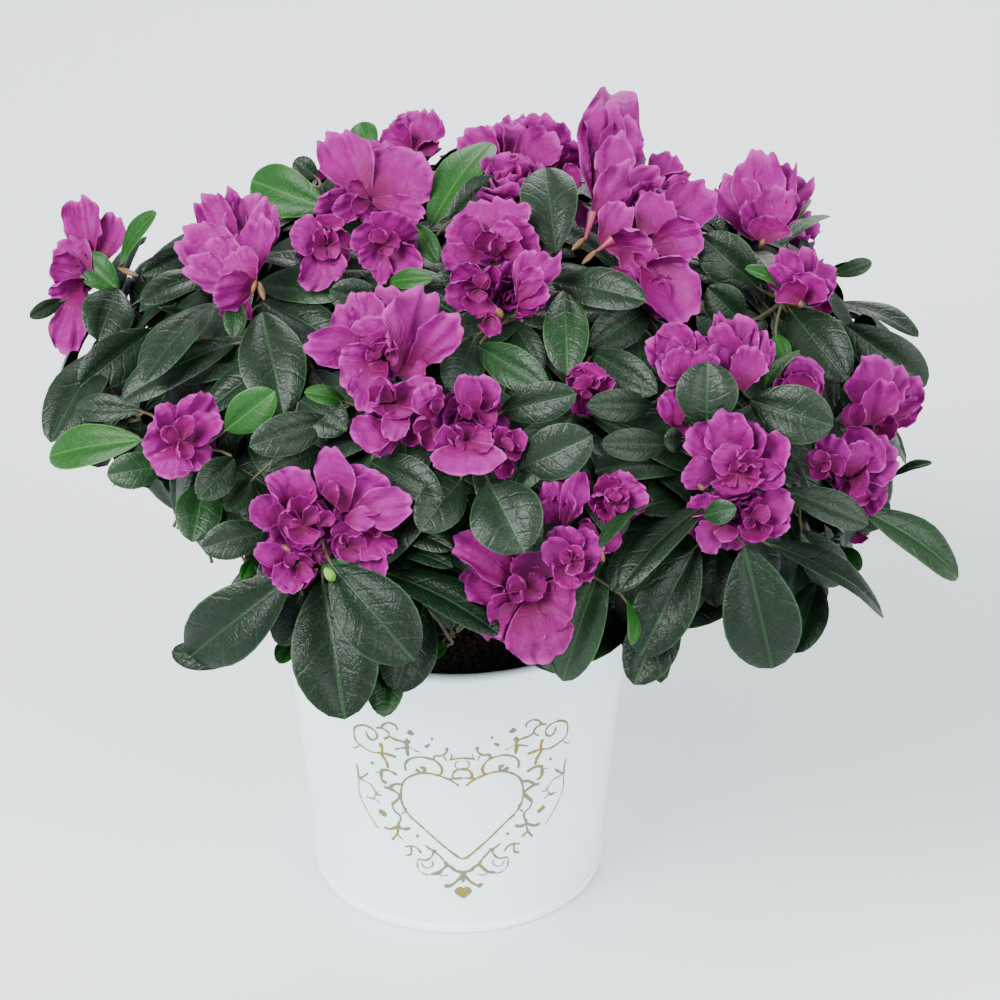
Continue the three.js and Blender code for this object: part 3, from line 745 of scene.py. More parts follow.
# The leaves that the photograph shows, as root x and y, tip x and y and breadth in its pixels,
# the crown's shell that the tip lies on, and a tone: 0 is a dark leaf, 1 a middling, 2 a young one.
leaves_seen = [
    (120, 265, 155, 212, 16, .98, 2), (118, 290, 80, 256, 34, .98, 2), (117, 288, 98, 340, 52, .97, 0),
    (62, 300, 30, 317, 16, .9, 0), (200, 248, 142, 275, 26, .84, 0), (214, 274, 141, 302, 27, .9, 0),
    (214, 303, 143, 380, 38, .95, 0), (236, 342, 121, 398, 40, .9, 0), (152, 330, 80, 386, 46, .88, 0),
    (112, 345, 50, 440, 46, .86, 0), (236, 300, 234, 337, 22, .98, 1), (262, 312, 283, 412, 66, .95, 0),
    (258, 284, 347, 292, 38, .88, 1), (262, 302, 347, 350, 42, .86, 0), (326, 208, 250, 180, 52, .9, 2),
    (318, 178, 294, 160, 22, .85, 0), (226, 430, 274, 392, 40, .97, 2), (346, 402, 305, 392, 18, .95, 2),
    (386, 308, 330, 290, 38, .93, 0),
    (372, 156, 359, 122, 28, .95, 2), (430, 228, 490, 140, 40, .9, 2), (412, 146, 434, 140, 10, .95, 2),
    (448, 222, 500, 180, 40, .93, 0), (556, 252, 545, 166, 58, .95, 0), (495, 172, 516, 150, 24, .85, 0),
    (415, 224, 438, 262, 22, .93, 2), (388, 282, 432, 278, 20, .9, 2),
    (552, 282, 645, 300, 40, .93, 0), (565, 290, 567, 374, 45, .95, 1), (650, 308, 590, 346, 42, .9, 0),
    (592, 352, 656, 392, 38, .9, 0), (478, 346, 547, 388, 40, .93, 1), (512, 320, 541, 372, 30, .88, 0),
    (474, 338, 452, 392, 44, .9, 0), (500, 412, 576, 394, 40, .95, 0), (652, 405, 588, 405, 32, .93, 0),
    (668, 445, 602, 444, 32, .93, 0), (518, 470, 592, 436, 54, .95, 0), (488, 480, 524, 552, 74, .97, 0),
    (462, 478, 420, 530, 48, .92, 0), (370, 462, 440, 500, 50, .9, 0), (385, 522, 452, 548, 30, .86, 0),
    (392, 550, 452, 566, 20, .88, 0),
    (382, 572, 500, 632, 38, .95, 0), (332, 566, 414, 660, 76, 1.04, 0), (322, 580, 345, 719, 86, .92, 0),
    (290, 576, 188, 658, 72, .97, 0), (232, 662, 171, 652, 28, .9, 0), (424, 606, 396, 692, 56, .86, 0),
    (386, 655, 384, 716, 38, .88, 1), (302, 588, 280, 646, 36, .9, 0), (290, 640, 279, 663, 20, .86, 2),
    (604, 560, 562, 682, 50, .9, 1), (656, 530, 612, 590, 40, .88, 0), (704, 505, 620, 586, 36, .95, 0),
    (656, 500, 600, 546, 11, .97, 1), (697, 545, 640, 656, 60, .93, 0), (672, 600, 634, 684, 54, .87, 0),
    (628, 600, 632, 644, 12, .96, 2), (745, 546, 773, 670, 78, .98, 0), (818, 582, 795, 652, 42, .86, 0),
    (716, 545, 716, 606, 38, .85, 0), (770, 545, 886, 613, 28, .97, 0), (784, 490, 869, 524, 34, .97, 0),
    (862, 510, 961, 576, 38, .99, 1), (800, 530, 842, 585, 42, .87, 0), (842, 548, 860, 570, 20, .85, 2),
    (750, 400, 833, 426, 58, .97, 0), (706, 430, 708, 362, 62, .98, 0), (684, 440, 664, 440, 24, .93, 0),
    (758, 288, 702, 236, 50, .93, 0), (742, 322, 708, 288, 40, .88, 0), (787, 290, 746, 268, 12, .96, 2),
    (790, 310, 846, 380, 60, .9, 0), (845, 325, 927, 386, 50, .93, 0), (840, 302, 919, 335, 18, .9, 0),
    (834, 275, 872, 262, 17, .9, 1), (785, 240, 809, 198, 15, .95, 2), (780, 246, 829, 214, 13, .95, 2),
    (766, 340, 760, 380, 22, .93, 1), (775, 335, 786, 362, 20, .9, 2), (800, 350, 764, 386, 13, .96, 2),
    (848, 404, 850, 380, 14, .93, 2), (892, 476, 932, 462, 9, .93, 1),
    (142, 440, 47, 456, 42, .97, 2), (168, 465, 107, 475, 36, .93, 1), (142, 410, 75, 408, 28, .93, 0),
    (205, 482, 192, 541, 46, .93, 1), (234, 458, 199, 498, 36, .95, 0), (252, 480, 226, 510, 28, .9, 1),
    (268, 530, 202, 548, 38, .95, 0), (332, 420, 250, 446, 42, .93, 0), (322, 450, 270, 470, 34, .9, 0),
    (300, 400, 346, 430, 44, .93, 0), (252, 560, 242, 580, 14, .86, 2), (704, 516, 736, 508, 24, 1.0, 1),
    (322, 568, 350, 566, 16, .98, 2),
]

# The dark leaves of the lowest sprays in front have tips below this pixel. They get a darker, less glossy
# colour, which is painted shade under the crown.
shaded_leaf_below = 610

# The crown's edge in the photograph, in its pixels, clockwise from the left.
crown_edge = np.array([
    (28, 318), (48, 298), (60, 225), (75, 198), (100, 205), (125, 240), (152, 210), (160, 218),
    (150, 245), (180, 235), (205, 200), (225, 188), (262, 192), (250, 175), (285, 162), (305, 155),
    (330, 140), (350, 130), (362, 120), (380, 142), (400, 115), (435, 113), (442, 134), (447, 152),
    (454, 136), (470, 120),
    (560, 128), (576, 158), (580, 120), (612, 90), (626, 118), (634, 150), (655, 180), (690, 190), (715, 190),
    (740, 165), (800, 160), (815, 180), (806, 205), (828, 213), (805, 240), (835, 262), (872, 260),
    (850, 282), (840, 298), (920, 333), (905, 345), (928, 378), (918, 402), (902, 450), (932, 460),
    (900, 482), (892, 508), (937, 530), (963, 576), (930, 570), (880, 525), (868, 540), (850, 562),
    (888, 612), (850, 602), (832, 592), (825, 620), (800, 655), (772, 673), (745, 655), (722, 605),
    (706, 600), (700, 640), (670, 686), (638, 682), (620, 645), (600, 662), (565, 684), (530, 668),
    (505, 640), (450, 622), (442, 660), (400, 692), (394, 718), (372, 720), (340, 722), (300, 690),
    (296, 602), (250, 656), (190, 668), (170, 655), (190, 610), (240, 575), (266, 550), (205, 550),
    (200, 542), (175, 536), (171, 490), (108, 490), (104, 466), (46, 468), (48, 400), (48, 350),
])

focal_pixels = camera_lens / sensor_width * image_width
view_right = np.array([1.0, 0.0, 0.0])
view_up = np.array([0, math.sin(camera_pitch), math.cos(camera_pitch)])
view_back = np.array([0, -math.cos(camera_pitch), math.sin(camera_pitch)])


def to_pixels(points):
    """The pixel of each point, and its distance in front of the camera."""
    away = np.asarray(points) - camera_place
    depth = -(away @ view_back)
    x = image_width / 2 + focal_pixels * (away @ view_right) / depth
    y = image_width / 2 - focal_pixels * (away @ view_up) / depth
    return np.stack([x, y], axis=-1), depth


def seen_size(pixels, place):
    """The size in mm of something that covers so many pixels at a place."""
    return pixels * np.linalg.norm(camera_place - place) / focal_pixels


def seen_face(root, along):
    """Which way a blade looks that turns its whole breadth to the camera."""
    sight = unit(camera_place - root)
    return unit(sight - along * (sight @ along))


def on_shell(x, y, level, near=None, slope=0.6):
    """Where the sight line through a pixel first comes as deep in the crown as a level. With a
    near point, the depth stays within a slope of it."""
    right, down = x - image_width / 2, y - image_width / 2
    sight = unit(view_right * right - view_up * down - view_back * focal_pixels)
    steps = np.arange(900, 1500, 1.5)
    levels = np.array([crown_level(camera_place + sight * t) for t in steps])
    inside = np.nonzero(levels < level)[0]
    distance = steps[inside[0] if len(inside) else levels.argmin()]
    if near is not None:
        away = near - camera_place
        flat = np.linalg.norm(away - sight * (away @ sight)) * slope
        distance = np.clip(distance, away @ sight - flat, away @ sight + flat)
    return camera_place + sight * distance


def leaf_outline(s):
    """A leaf's breadth along its length, as a share of its greatest."""
    return np.maximum(np.sin(math.pi * s ** leaf_widest_at), 0) ** leaf_fullness


def leaf_grids(leaves, s, u):
    """Grids of points for leaves, each (root, along, face, length, breadth, arch, twist)."""
    root, along, face = (np.array([leaf[k] for leaf in leaves])[:, None, None] for k in range(3))
    length, breadth, arch, twist = (
        np.array([leaf[k] for leaf in leaves])[:, None, None, None] for k in range(3, 7))
    s = np.asarray(s)[None, :, None, None]
    u = np.asarray(u)[None, None, :, None]
    half = breadth / 2 * leaf_outline(s) + 0.14
    side = unit(np.cross(along, face))
    normal = np.cross(side, along)
    turn = twist * s
    across = side * np.cos(turn) + normal * np.sin(turn)
    upward = normal * np.cos(turn) - side * np.sin(turn)
    vault = half * leaf_vault * np.sin(0.78 * math.pi * np.abs(u))
    wave = 0.05 * half * np.sin(9 * s + 7 * arch * 40) * np.abs(u)
    lift = length * (arch * np.sin(math.pi * s) - 0.5 * arch * s ** 4) + vault + wave
    return root + along * s * length + across * u * half + upward * lift


def closed_sheets(grids, thickness, uv):
    """Thin closed blades from grids of points, with their faces, their UVs and which points are rim."""
    count, rows, columns = grids.shape[:3]
    normal = unit(np.cross(np.gradient(grids, axis=2), np.gradient(grids, axis=1)))
    under = (grids - normal * thickness)[:, 1:-1, 1:-1]
    inner = (rows - 2) * (columns - 2)
    points = np.concatenate([grids.reshape(count, -1, 3), under.reshape(count, -1, 3)], axis=1)
    uvs = np.concatenate([uv.reshape(count, -1, 2), uv[:, 1:-1, 1:-1].reshape(count, -1, 2)], axis=1)
    top = np.arange(rows * columns).reshape(rows, columns)
    below = top.copy()
    below[1:-1, 1:-1] = rows * columns + np.arange(inner).reshape(rows - 2, columns - 2)

    def quads(index):
        corners = [index[:-1, :-1], index[:-1, 1:], index[1:, 1:], index[1:, :-1]]
        return np.stack(corners, axis=-1).reshape(-1, 4)
    one = np.concatenate([quads(top), quads(below)[:, ::-1]])
    faces = (one[None] + (np.arange(count) * points.shape[1])[:, None, None]).reshape(-1, 4)
    rim = np.concatenate([(below == top).ravel(), np.zeros(inner, bool)])
    rim[top[1:-1, 1:-1]] = False
    return points.reshape(-1, 3), faces, uvs.reshape(-1, 2), np.tile(rim, count)


def blades_piece(name, grids, thickness, s, across, material, slot, replaced=()):
    """A piece of thin closed blades. Their UVs say how far along and across each blade a point is."""
    uv = np.stack(np.broadcast_arrays(0.5 + 0.5 * across, s[:, None]), axis=-1)
    uv = np.broadcast_to(uv, (len(grids), *uv.shape))
    points, faces, uvs, rim = closed_sheets(grids, thickness, uv)
    mesh_piece(name, points, faces, material, slot, replaced, uvs, rim)


def tree_of(points, faces):
    return BVHTree.FromPolygons([tuple(p) for p in points], faces)


coarse_s = [0.1, 0.33, 0.56, 0.8, 1.0]
coarse_u = [-0.85, 0, 0.85]
coarse_faces = [(3 * r + c, 3 * r + c + 1, 3 * r + c + 4, 3 * r + c + 3) for r in range(4) for c in range(2)]


def ball(centre, radius):
    """A small ball of points and faces that stands for a bloom when leaves are kept clear of it."""
    points, (quads, caps) = lathe([(0, -1), (0.7, -0.7), (1, 0), (0.7, 0.7), (0, 1)], 10)
    return points * radius + centre, [tuple(f) for f in quads] + [tuple(f) for f in caps]


class Crowd:
    """Everything that a leaf may not cross, and what it may not hide from the camera."""
    def __init__(self):
        self.bodies = []
        self.shown = []

    def add_body(self, points, faces):
        points = np.asarray(points)
        self.bodies.append((points.min(axis=0), points.max(axis=0), tree_of(points, faces)))

    def is_clear(self, points, faces):
        low, high = points.min(axis=0), points.max(axis=0)
        own = None
        for other_low, other_high, tree in self.bodies:
            if (low > other_high).any() or (high < other_low).any():
                continue
            own = own or tree_of(points, faces)
            if own.overlap(tree):
                return False
        return True

    def show(self, start, end, half_width, depth):
        self.shown.append((*start, *end, half_width, depth))

    def hides(self, points):
        """Whether any of the points lies in front of something that the photograph shows."""
        pixels, depth = to_pixels(points)
        shown = np.array(self.shown)
        start, end = shown[:, None, 0:2], shown[:, None, 2:4]
        way = end - start
        along = ((pixels[None] - start) * way).sum(-1) / np.maximum((way ** 2).sum(-1), 1e-6)
        nearest = start + way * np.clip(along, 0, 1)[..., None]
        off = np.linalg.norm(pixels[None] - nearest, axis=-1)
        return ((off < shown[:, None, 4]) & (depth[None] < shown[:, None, 5] - 1)).any()


def in_edge(pixels):
    """Which pixels lie inside the crown's edge, by counting the sides crossed to their right."""
    x, y = pixels[:, 0:1], pixels[:, 1:2]
    a, b = crown_edge, np.roll(crown_edge, -1, axis=0)
    spans = (a[:, 1] > y) != (b[:, 1] > y)
    rise = np.where(b[:, 1] == a[:, 1], 1e-9, b[:, 1] - a[:, 1])
    crossing = a[:, 0] + (y - a[:, 1]) * (b[:, 0] - a[:, 0]) / rise
    return (spans & (x < crossing)).sum(axis=1) % 2 == 1


# One bloom of the rule would show where the photograph has none, so its shoot holds leaves.
bare_shoot = 62
shoots[bare_shoot]["width"] = 0
crowd = Crowd()
for shoot in shoots:
    if shoot["width"]:
        centre = shoot["seat"] + shoot["axis"] * shoot["width"] * ball_lift
        crowd.add_body(*ball(centre, ball_share * shoot["width"]))
        if shoot["index"] < len(front_blooms):
            pixels, depth = to_pixels(shoot["place"][None])
            half = uncovered_share * shoot["width"] * focal_pixels / depth[0]
            crowd.show(pixels[0], pixels[0] + (0.1, 0), half, depth[0])

route_steps = 8
route_shares = np.linspace(0.35, 1, route_steps)
route_samples = np.concatenate([bezier(*shoot["route"], route_shares) for shoot in shoots])

# Tone 3 is an inner leaf, and tone 4 one of the lowest in front, drawn darker as painted shade.
tones = {tone: [] for tone in range(5)}
stalks = []
for x0, y0, x1, y1, breadth, level, tone in leaves_seen:
    root = on_shell(x0, y0, level - seen_root_depth)
    tip = on_shell(x1, y1, level, root, seen_slope)
    length = np.linalg.norm(tip - root)
    along = unit(tip - root)
    seen_side = seen_face(root, along)
    shown_breadth = seen_size(breadth, root)
    real_breadth = max(shown_breadth, least_breadth * length)
    tilt = math.acos(min(shown_breadth / real_breadth, 1))
    edge = np.cross(along, seen_side)
    ways = [seen_side * math.cos(tilt) + edge * math.sin(tilt) * hand for hand in (-1, 1)]
    face = max(ways, key=lambda way: way @ (up + 0.4 * unit(root - crown_centre)))
    leaf = (root, along, face, length, real_breadth, seen_arch, 0.0)
    tones[4 if tone == 0 and y1 > shaded_leaf_below else tone].append(leaf)
    grid = leaf_grids([leaf], coarse_s, coarse_u)[0].reshape(-1, 3)
    crowd.add_body(grid, coarse_faces)
    pixels, depth = to_pixels(np.array([root, tip]))
    crowd.show(pixels[0], pixels[1], breadth * uncovered_share, depth.mean())
    gaps = np.linalg.norm(route_samples - (root - along * stalk_length), axis=1)
    stalks.append((route_samples[gaps.argmin()], root - along * stalk_length, root + along * 2))
    holder = shoots[gaps.argmin() // route_steps]
    holder["used"] = max(holder["used"], route_shares[gaps.argmin() % route_steps])


def try_leaf(root, along, face, length, roll, tone, breadth=leaf_breadth):
    """Adds a leaf if it stays in the crown, crosses nothing and hides nothing that is shown."""
    arch, twist = between((0.03, 0.1), roll()), between((-0.25, 0.25), roll())
    leaf = (root, along, face, length, breadth * length, arch, twist)
    tip = root + along * length
    if tip[2] < lowest_leaf_tip or crown_level(tip) > leaf_tip_shell:
        return False
    grid = leaf_grids([leaf], coarse_s, coarse_u)[0].reshape(-1, 3)
    pixels, _ = to_pixels(grid)
    if not in_edge(pixels[3:]).all() or crowd.hides(grid) or not crowd.is_clear(grid, coarse_faces):
        return False
    crowd.add_body(grid, coarse_faces)
    tones[tone].append(leaf)
    return True


def whorl(shoot, share, count, opening, lengths, roll, tone, step=1.5, sags=(0.1, 0.3)):
    """Leaves round a shoot's axis in a spiral, each at a level of its own, which sag a little."""
    axis, back = shoot["axis"], shoot["back"]
    place = bezier(*shoot["route"], share)
    side = unit(np.cross(axis, up))
    over = np.cross(side, axis)
    face = unit(axis + up * leaf_face_up)
    first = 360 * roll()
    for i in range(count):
        turn = first + i * golden_turn
        spread, sag, length = (between(ends, roll()) for ends in (opening, sags, lengths))
        for more_turn, tilt, shrink in leaf_ways:
            angle = math.radians(turn + more_turn)
            open_by = math.radians(spread + tilt)
            along = unit(axis * math.cos(open_by) + side * math.sin(open_by) * math.cos(angle)
                         + over * math.sin(open_by) * math.sin(angle) - up * sag)
            joint = place + back * step * (i + 0.8)
            root = joint + along * stalk_length
            if try_leaf(root, along, face, length * shrink, roll, tone):
                stalks.append((joint, joint + along * stalk_length * 0.5, root + along * 2))
                shoot["used"] = max(shoot["used"], share)
                break


# The whorls at the shoots' ends, flatter under a bloom, and a tuft of small leaves where there is
# none. Angles are from the shoot's axis.
under_bloom, bare, tuft = (76, 98), (56, 84), (14, 38)
end_count, tuft_count = 8, 4
tuft_length = (15, 26)
young_share = 0.45
for shoot in shoots:
    roll = dice(leaf_seed + shoot["index"] * leaf_seed_step)
    whorl(shoot, 1.0, end_count, under_bloom if shoot["width"] else bare, leaf_length, roll, 0)
    if not shoot["width"]:
        tone = 2 if roll() < young_share else 1
        whorl(shoot, 1.0, tuft_count, tuft, tuft_length, roll, tone, 0.4, (0, 0.1))

# Two layers of inner leaves: a step of the seed, each whorl's share of the shoot's route and count,
# the angles that its leaves open to, and their lengths.
inner_layers = [
    (5, [(0.74, 4), (0.5, 4), (0.26, 5)], (60, 96), (34, 50)),
    (9, [(0.85, 3), (0.6, 3), (0.38, 3)], (50, 110), (26, 36)),
]
for seed_step, whorls, opening, lengths in inner_layers:
    for shoot in shoots:
        roll = dice(leaf_seed + shoot["index"] * leaf_seed_step + seed_step)
        for share, count in whorls:
            whorl(shoot, share, count, opening, lengths, roll, 3)


def leaf_rows(count):
    return 0.3 * np.linspace(0, 1, count) + 0.35 * (1 - np.cos(np.linspace(0, math.pi, count)))


def maths(tree, operation, *values):
    """What a maths node makes of values and sockets."""
    return add(tree, "ShaderNodeMath", dict(enumerate(values)), operation=operation).outputs[0]


def ramp(tree, value, start, end, ends=(0.0, 1.0)):
    """A smooth step between two ends."""
    return add(tree, "ShaderNodeMapRange", {"Value": value, "From Min": start, "From Max": end,
                                            "To Min": ends[0], "To Max": ends[1]},
               interpolation_type="SMOOTHSTEP").outputs["Result"]


def blade_places(tree):
    """A blade's UV, how far along it each point is, and how far off its middle line."""
    uv = add(tree, "ShaderNodeUVMap", uv_map="UVMap").outputs["UV"]
    own = add(tree, "ShaderNodeSeparateXYZ", {0: uv}).outputs
    return uv, own["Y"], maths(tree, "ABSOLUTE", maths(tree, "SUBTRACT", own["X"], 0.5))


def leaf_material(name, light, dark, vein, roughness, relief, gloss=0.27):
    """A waxy leaf, puffed up between sunken veins that are drawn on the blade's own UV map."""
    material, tree, shader = new_material(name, Roughness=roughness, Specular_IOR_Level=gloss)
    _, along, off = blade_places(tree)
    full = maths(tree, "MULTIPLY", maths(tree, "POWER", along, leaf_widest_at), math.pi)
    full = maths(tree, "POWER", maths(tree, "SINE", full), leaf_fullness)
    # A thin pale band along the leaf's rim, drawn in the vein colour, is a painted highlight on its edge.
    margin = ramp(tree, maths(tree, "DIVIDE", off, full), 0.46 * leaf_breadth, 0.494 * leaf_breadth)
    place = own_place(tree)
    wander = add(tree, "ShaderNodeTexNoise", {"Vector": place, "Scale": 130.0})
    rise = maths(tree, "MULTIPLY_ADD", off, -1.1, along)
    rise = maths(tree, "MULTIPLY_ADD", wander.outputs["Fac"], 0.12, rise)
    phase = maths(tree, "PINGPONG", maths(tree, "MULTIPLY", rise, 6.0), 0.5)
    side_vein = ramp(tree, phase, 0.0, 0.14, (1.0, 0.0))
    midrib = ramp(tree, off, 0.003, 0.013, (1.0, 0.0))
    bent = add(tree, "ShaderNodeVectorMath", {0: wander.outputs["Color"], 1: (0.006, 0.006, 0.006), 2: place},
               operation="MULTIPLY_ADD")
    net = add(tree, "ShaderNodeTexVoronoi", {"Vector": bent.outputs["Vector"], "Scale": 700.0},
              feature="DISTANCE_TO_EDGE")
    puff = ramp(tree, net.outputs["Distance"], 0.0, 0.36)
    cloudy = maths(tree, "MULTIPLY", clouds(tree, place, 60.0, 3.0), 0.6)
    # The blade is darker along the sunken net and lighter on the puffs between it, painted shade in the
    # grooves, under a random cloudy tone.
    blade = tint(tree, maths(tree, "MULTIPLY_ADD", puff, 0.52, cloudy), dark, light)
    veins = maths(tree, "MULTIPLY_ADD", midrib, 0.6, maths(tree, "MULTIPLY", side_vein, 0.06))
    veins = maths(tree, "MULTIPLY_ADD", margin, 1.2, veins)
    groove = maths(tree, "MAXIMUM", maths(tree, "MULTIPLY", side_vein, 0.6), midrib)
    height = maths(tree, "MULTIPLY_ADD", groove, -2.8, puff)
    skin(tree, shader, tint(tree, veins, blade, vein), height, relief, 0.0003)
    return material


old_leaf = leaf_material("waxy_old_leaf", "#0f2914", "#040c05", "#213d22", 0.44, 0.3)
green_leaf = leaf_material("waxy_green_leaf", "#133716", "#071c09", "#2b4f24", 0.44, 0.28)
# The lowest leaves in front are a darker, less glossy copy of the old leaf: painted shade under the crown.
shaded_leaf = leaf_material("waxy_shaded_leaf", "#0b2411", "#030904", "#1e3a20", 0.42, 0.34, 0.18)
young_leaf = leaf_material("soft_young_leaf", "#174d0e", "#0a350c", "#3a6624", 0.48, 0.2)
fine_u, plain_u = [-1, -0.64, -0.3, 0, 0.3, 0.64, 1], [-1, -0.5, 0, 0.5, 1]
leaf_looks = {0: ("leaves_dark", old_leaf, 13, fine_u), 1: ("leaves_middling", green_leaf, 13, fine_u),
              2: ("leaves_young", young_leaf, 13, fine_u), 3: ("leaves_inner", old_leaf, 9, plain_u),
              4: ("leaves_low_shaded", shaded_leaf, 13, fine_u)}
foliage_nodes = [f"foliage_{mass['name']}" for mass in masses]
for tone, (name, material, rows, columns) in leaf_looks.items():
    s, u = leaf_rows(rows), np.array(columns)
    across = leaf_breadth * u[None, :] * leaf_outline(s)[:, None]
    blades_piece(name, leaf_grids(tones[tone], s, u), leaf_thickness, s, across, material, "foliage",
                 foliage_nodes if tone == 0 else ())

for shoot in sorted(shoots, key=lambda s: -s["order"]):
    if shoot["used"] and shoot["parent"]:
        shoot["parent"]["used"] = max(shoot["parent"]["used"], 0.5)
    if shoot["used"]:
        t = np.linspace(0, shoot["used"], 9)
        inside = in_edge(to_pixels(bezier(*shoot["route"], t))[0])
        t = np.linspace(0, t[max(inside.argmin() - 1, 1)] if not inside.all() else shoot["used"], 9)
        radii = twig_radius + (twig_tip_radius - twig_radius) * t
        twig_paths.append((bezier(*shoot["route"], t), radii))
for joint, bend, end in stalks:
    twig_paths.append((bezier(joint, bend, end, np.linspace(0, 1, len(stalk_radii))), stalk_radii))
shoot_bark = clouded_material("green_brown_shoot_bark", "#33291b", "#4f4c2b", 300.0, 4.0, 0, 0,
                              Roughness=0.8)
twigs = new_curve("twigs")
for points, radii in twig_paths:
    add_path(twigs, points, radii)
finished(made_by_nodes("twigs_and_stalks", twigs, tubes, {"Sides": 5, "Surface": shoot_bark}))


# Blooms: ruffled double azaleas. Each has rings of thin wavy petals, broad ones outside and small
# curled ones in the middle. The petals that face the photograph's camera are laid where it shows
# them, over a smaller ring-built bloom that fills out their sides and back.
petal_thickness = 0.35
bloom_seed = 7000
petal_rings = [
    {"kind": "outer", "count": 5, "length": 0.54, "half": 0.31, "foot": (0.05, 0.04), "open": (30, 86),
     "cup": 14, "ruffle": 0.05, "waves": 2.6},
    {"kind": "second", "count": 5, "length": 0.5, "half": 0.27, "foot": (0.045, 0.06), "open": (20, 60),
     "cup": 34, "ruffle": 0.055, "waves": 2.6},
    {"kind": "middle", "count": 6, "length": 0.44, "half": 0.2, "foot": (0.035, 0.08), "open": (12, 36),
     "cup": 60, "ruffle": 0.06, "waves": 2.6},
    {"kind": "inner", "count": 5, "length": 0.38, "half": 0.14, "foot": (0.02, 0.1), "open": (3, 6),
     "cup": 85, "ruffle": 0.06, "waves": 2.6},
]
backing_share = 0.68
backing_depth = 9
bloom_spread = 1.06
usual_opening = 0.9
ring_turn = 0.6

# How the blooms in front are turned: a lean to the right and a lean up from straight at the
# camera, how far the petals are open, and the backing's share of the width where it is smaller.
facing = {
    0: (-1.9, .2, .7), 1: (-.4, 1.0, .6), 2: (.05, .45, 1.0), 3: (-.1, -.1, .9), 4: (.25, -.25, .9),
    5: (-.1, 1.4, .7), 6: (.1, 1.3, .8), 7: (0, .2, .9), 8: (.1, -.3, .85), 9: (-.25, .15, 1),
    10: (-.1, -.7, 1), 11: (.05, -.1, .85), 12: (-.2, -.6, .5, .42), 13: (.8, .3, .8), 14: (.3, -.3, .6, .38),
    15: (-.1, 1.3, .6), 16: (.15, .8, .65), 17: (0, .1, .75), 18: (-.25, .3, .7), 19: (.2, .7, .6),
    20: (.3, .4, .7), 21: (.7, .8, .5), 22: (.6, .1, .8), 23: (-.3, -.1, .85), 24: (-.1, .05, .95),
    25: (.5, .35, 1), 26: (.05, -.7, 1.0), 27: (.2, 0, .85), 28: (-.2, .6, .5), 29: (.05, .1, .7),
    30: (0, .15, .95), 31: (0, -.4, .85),
}

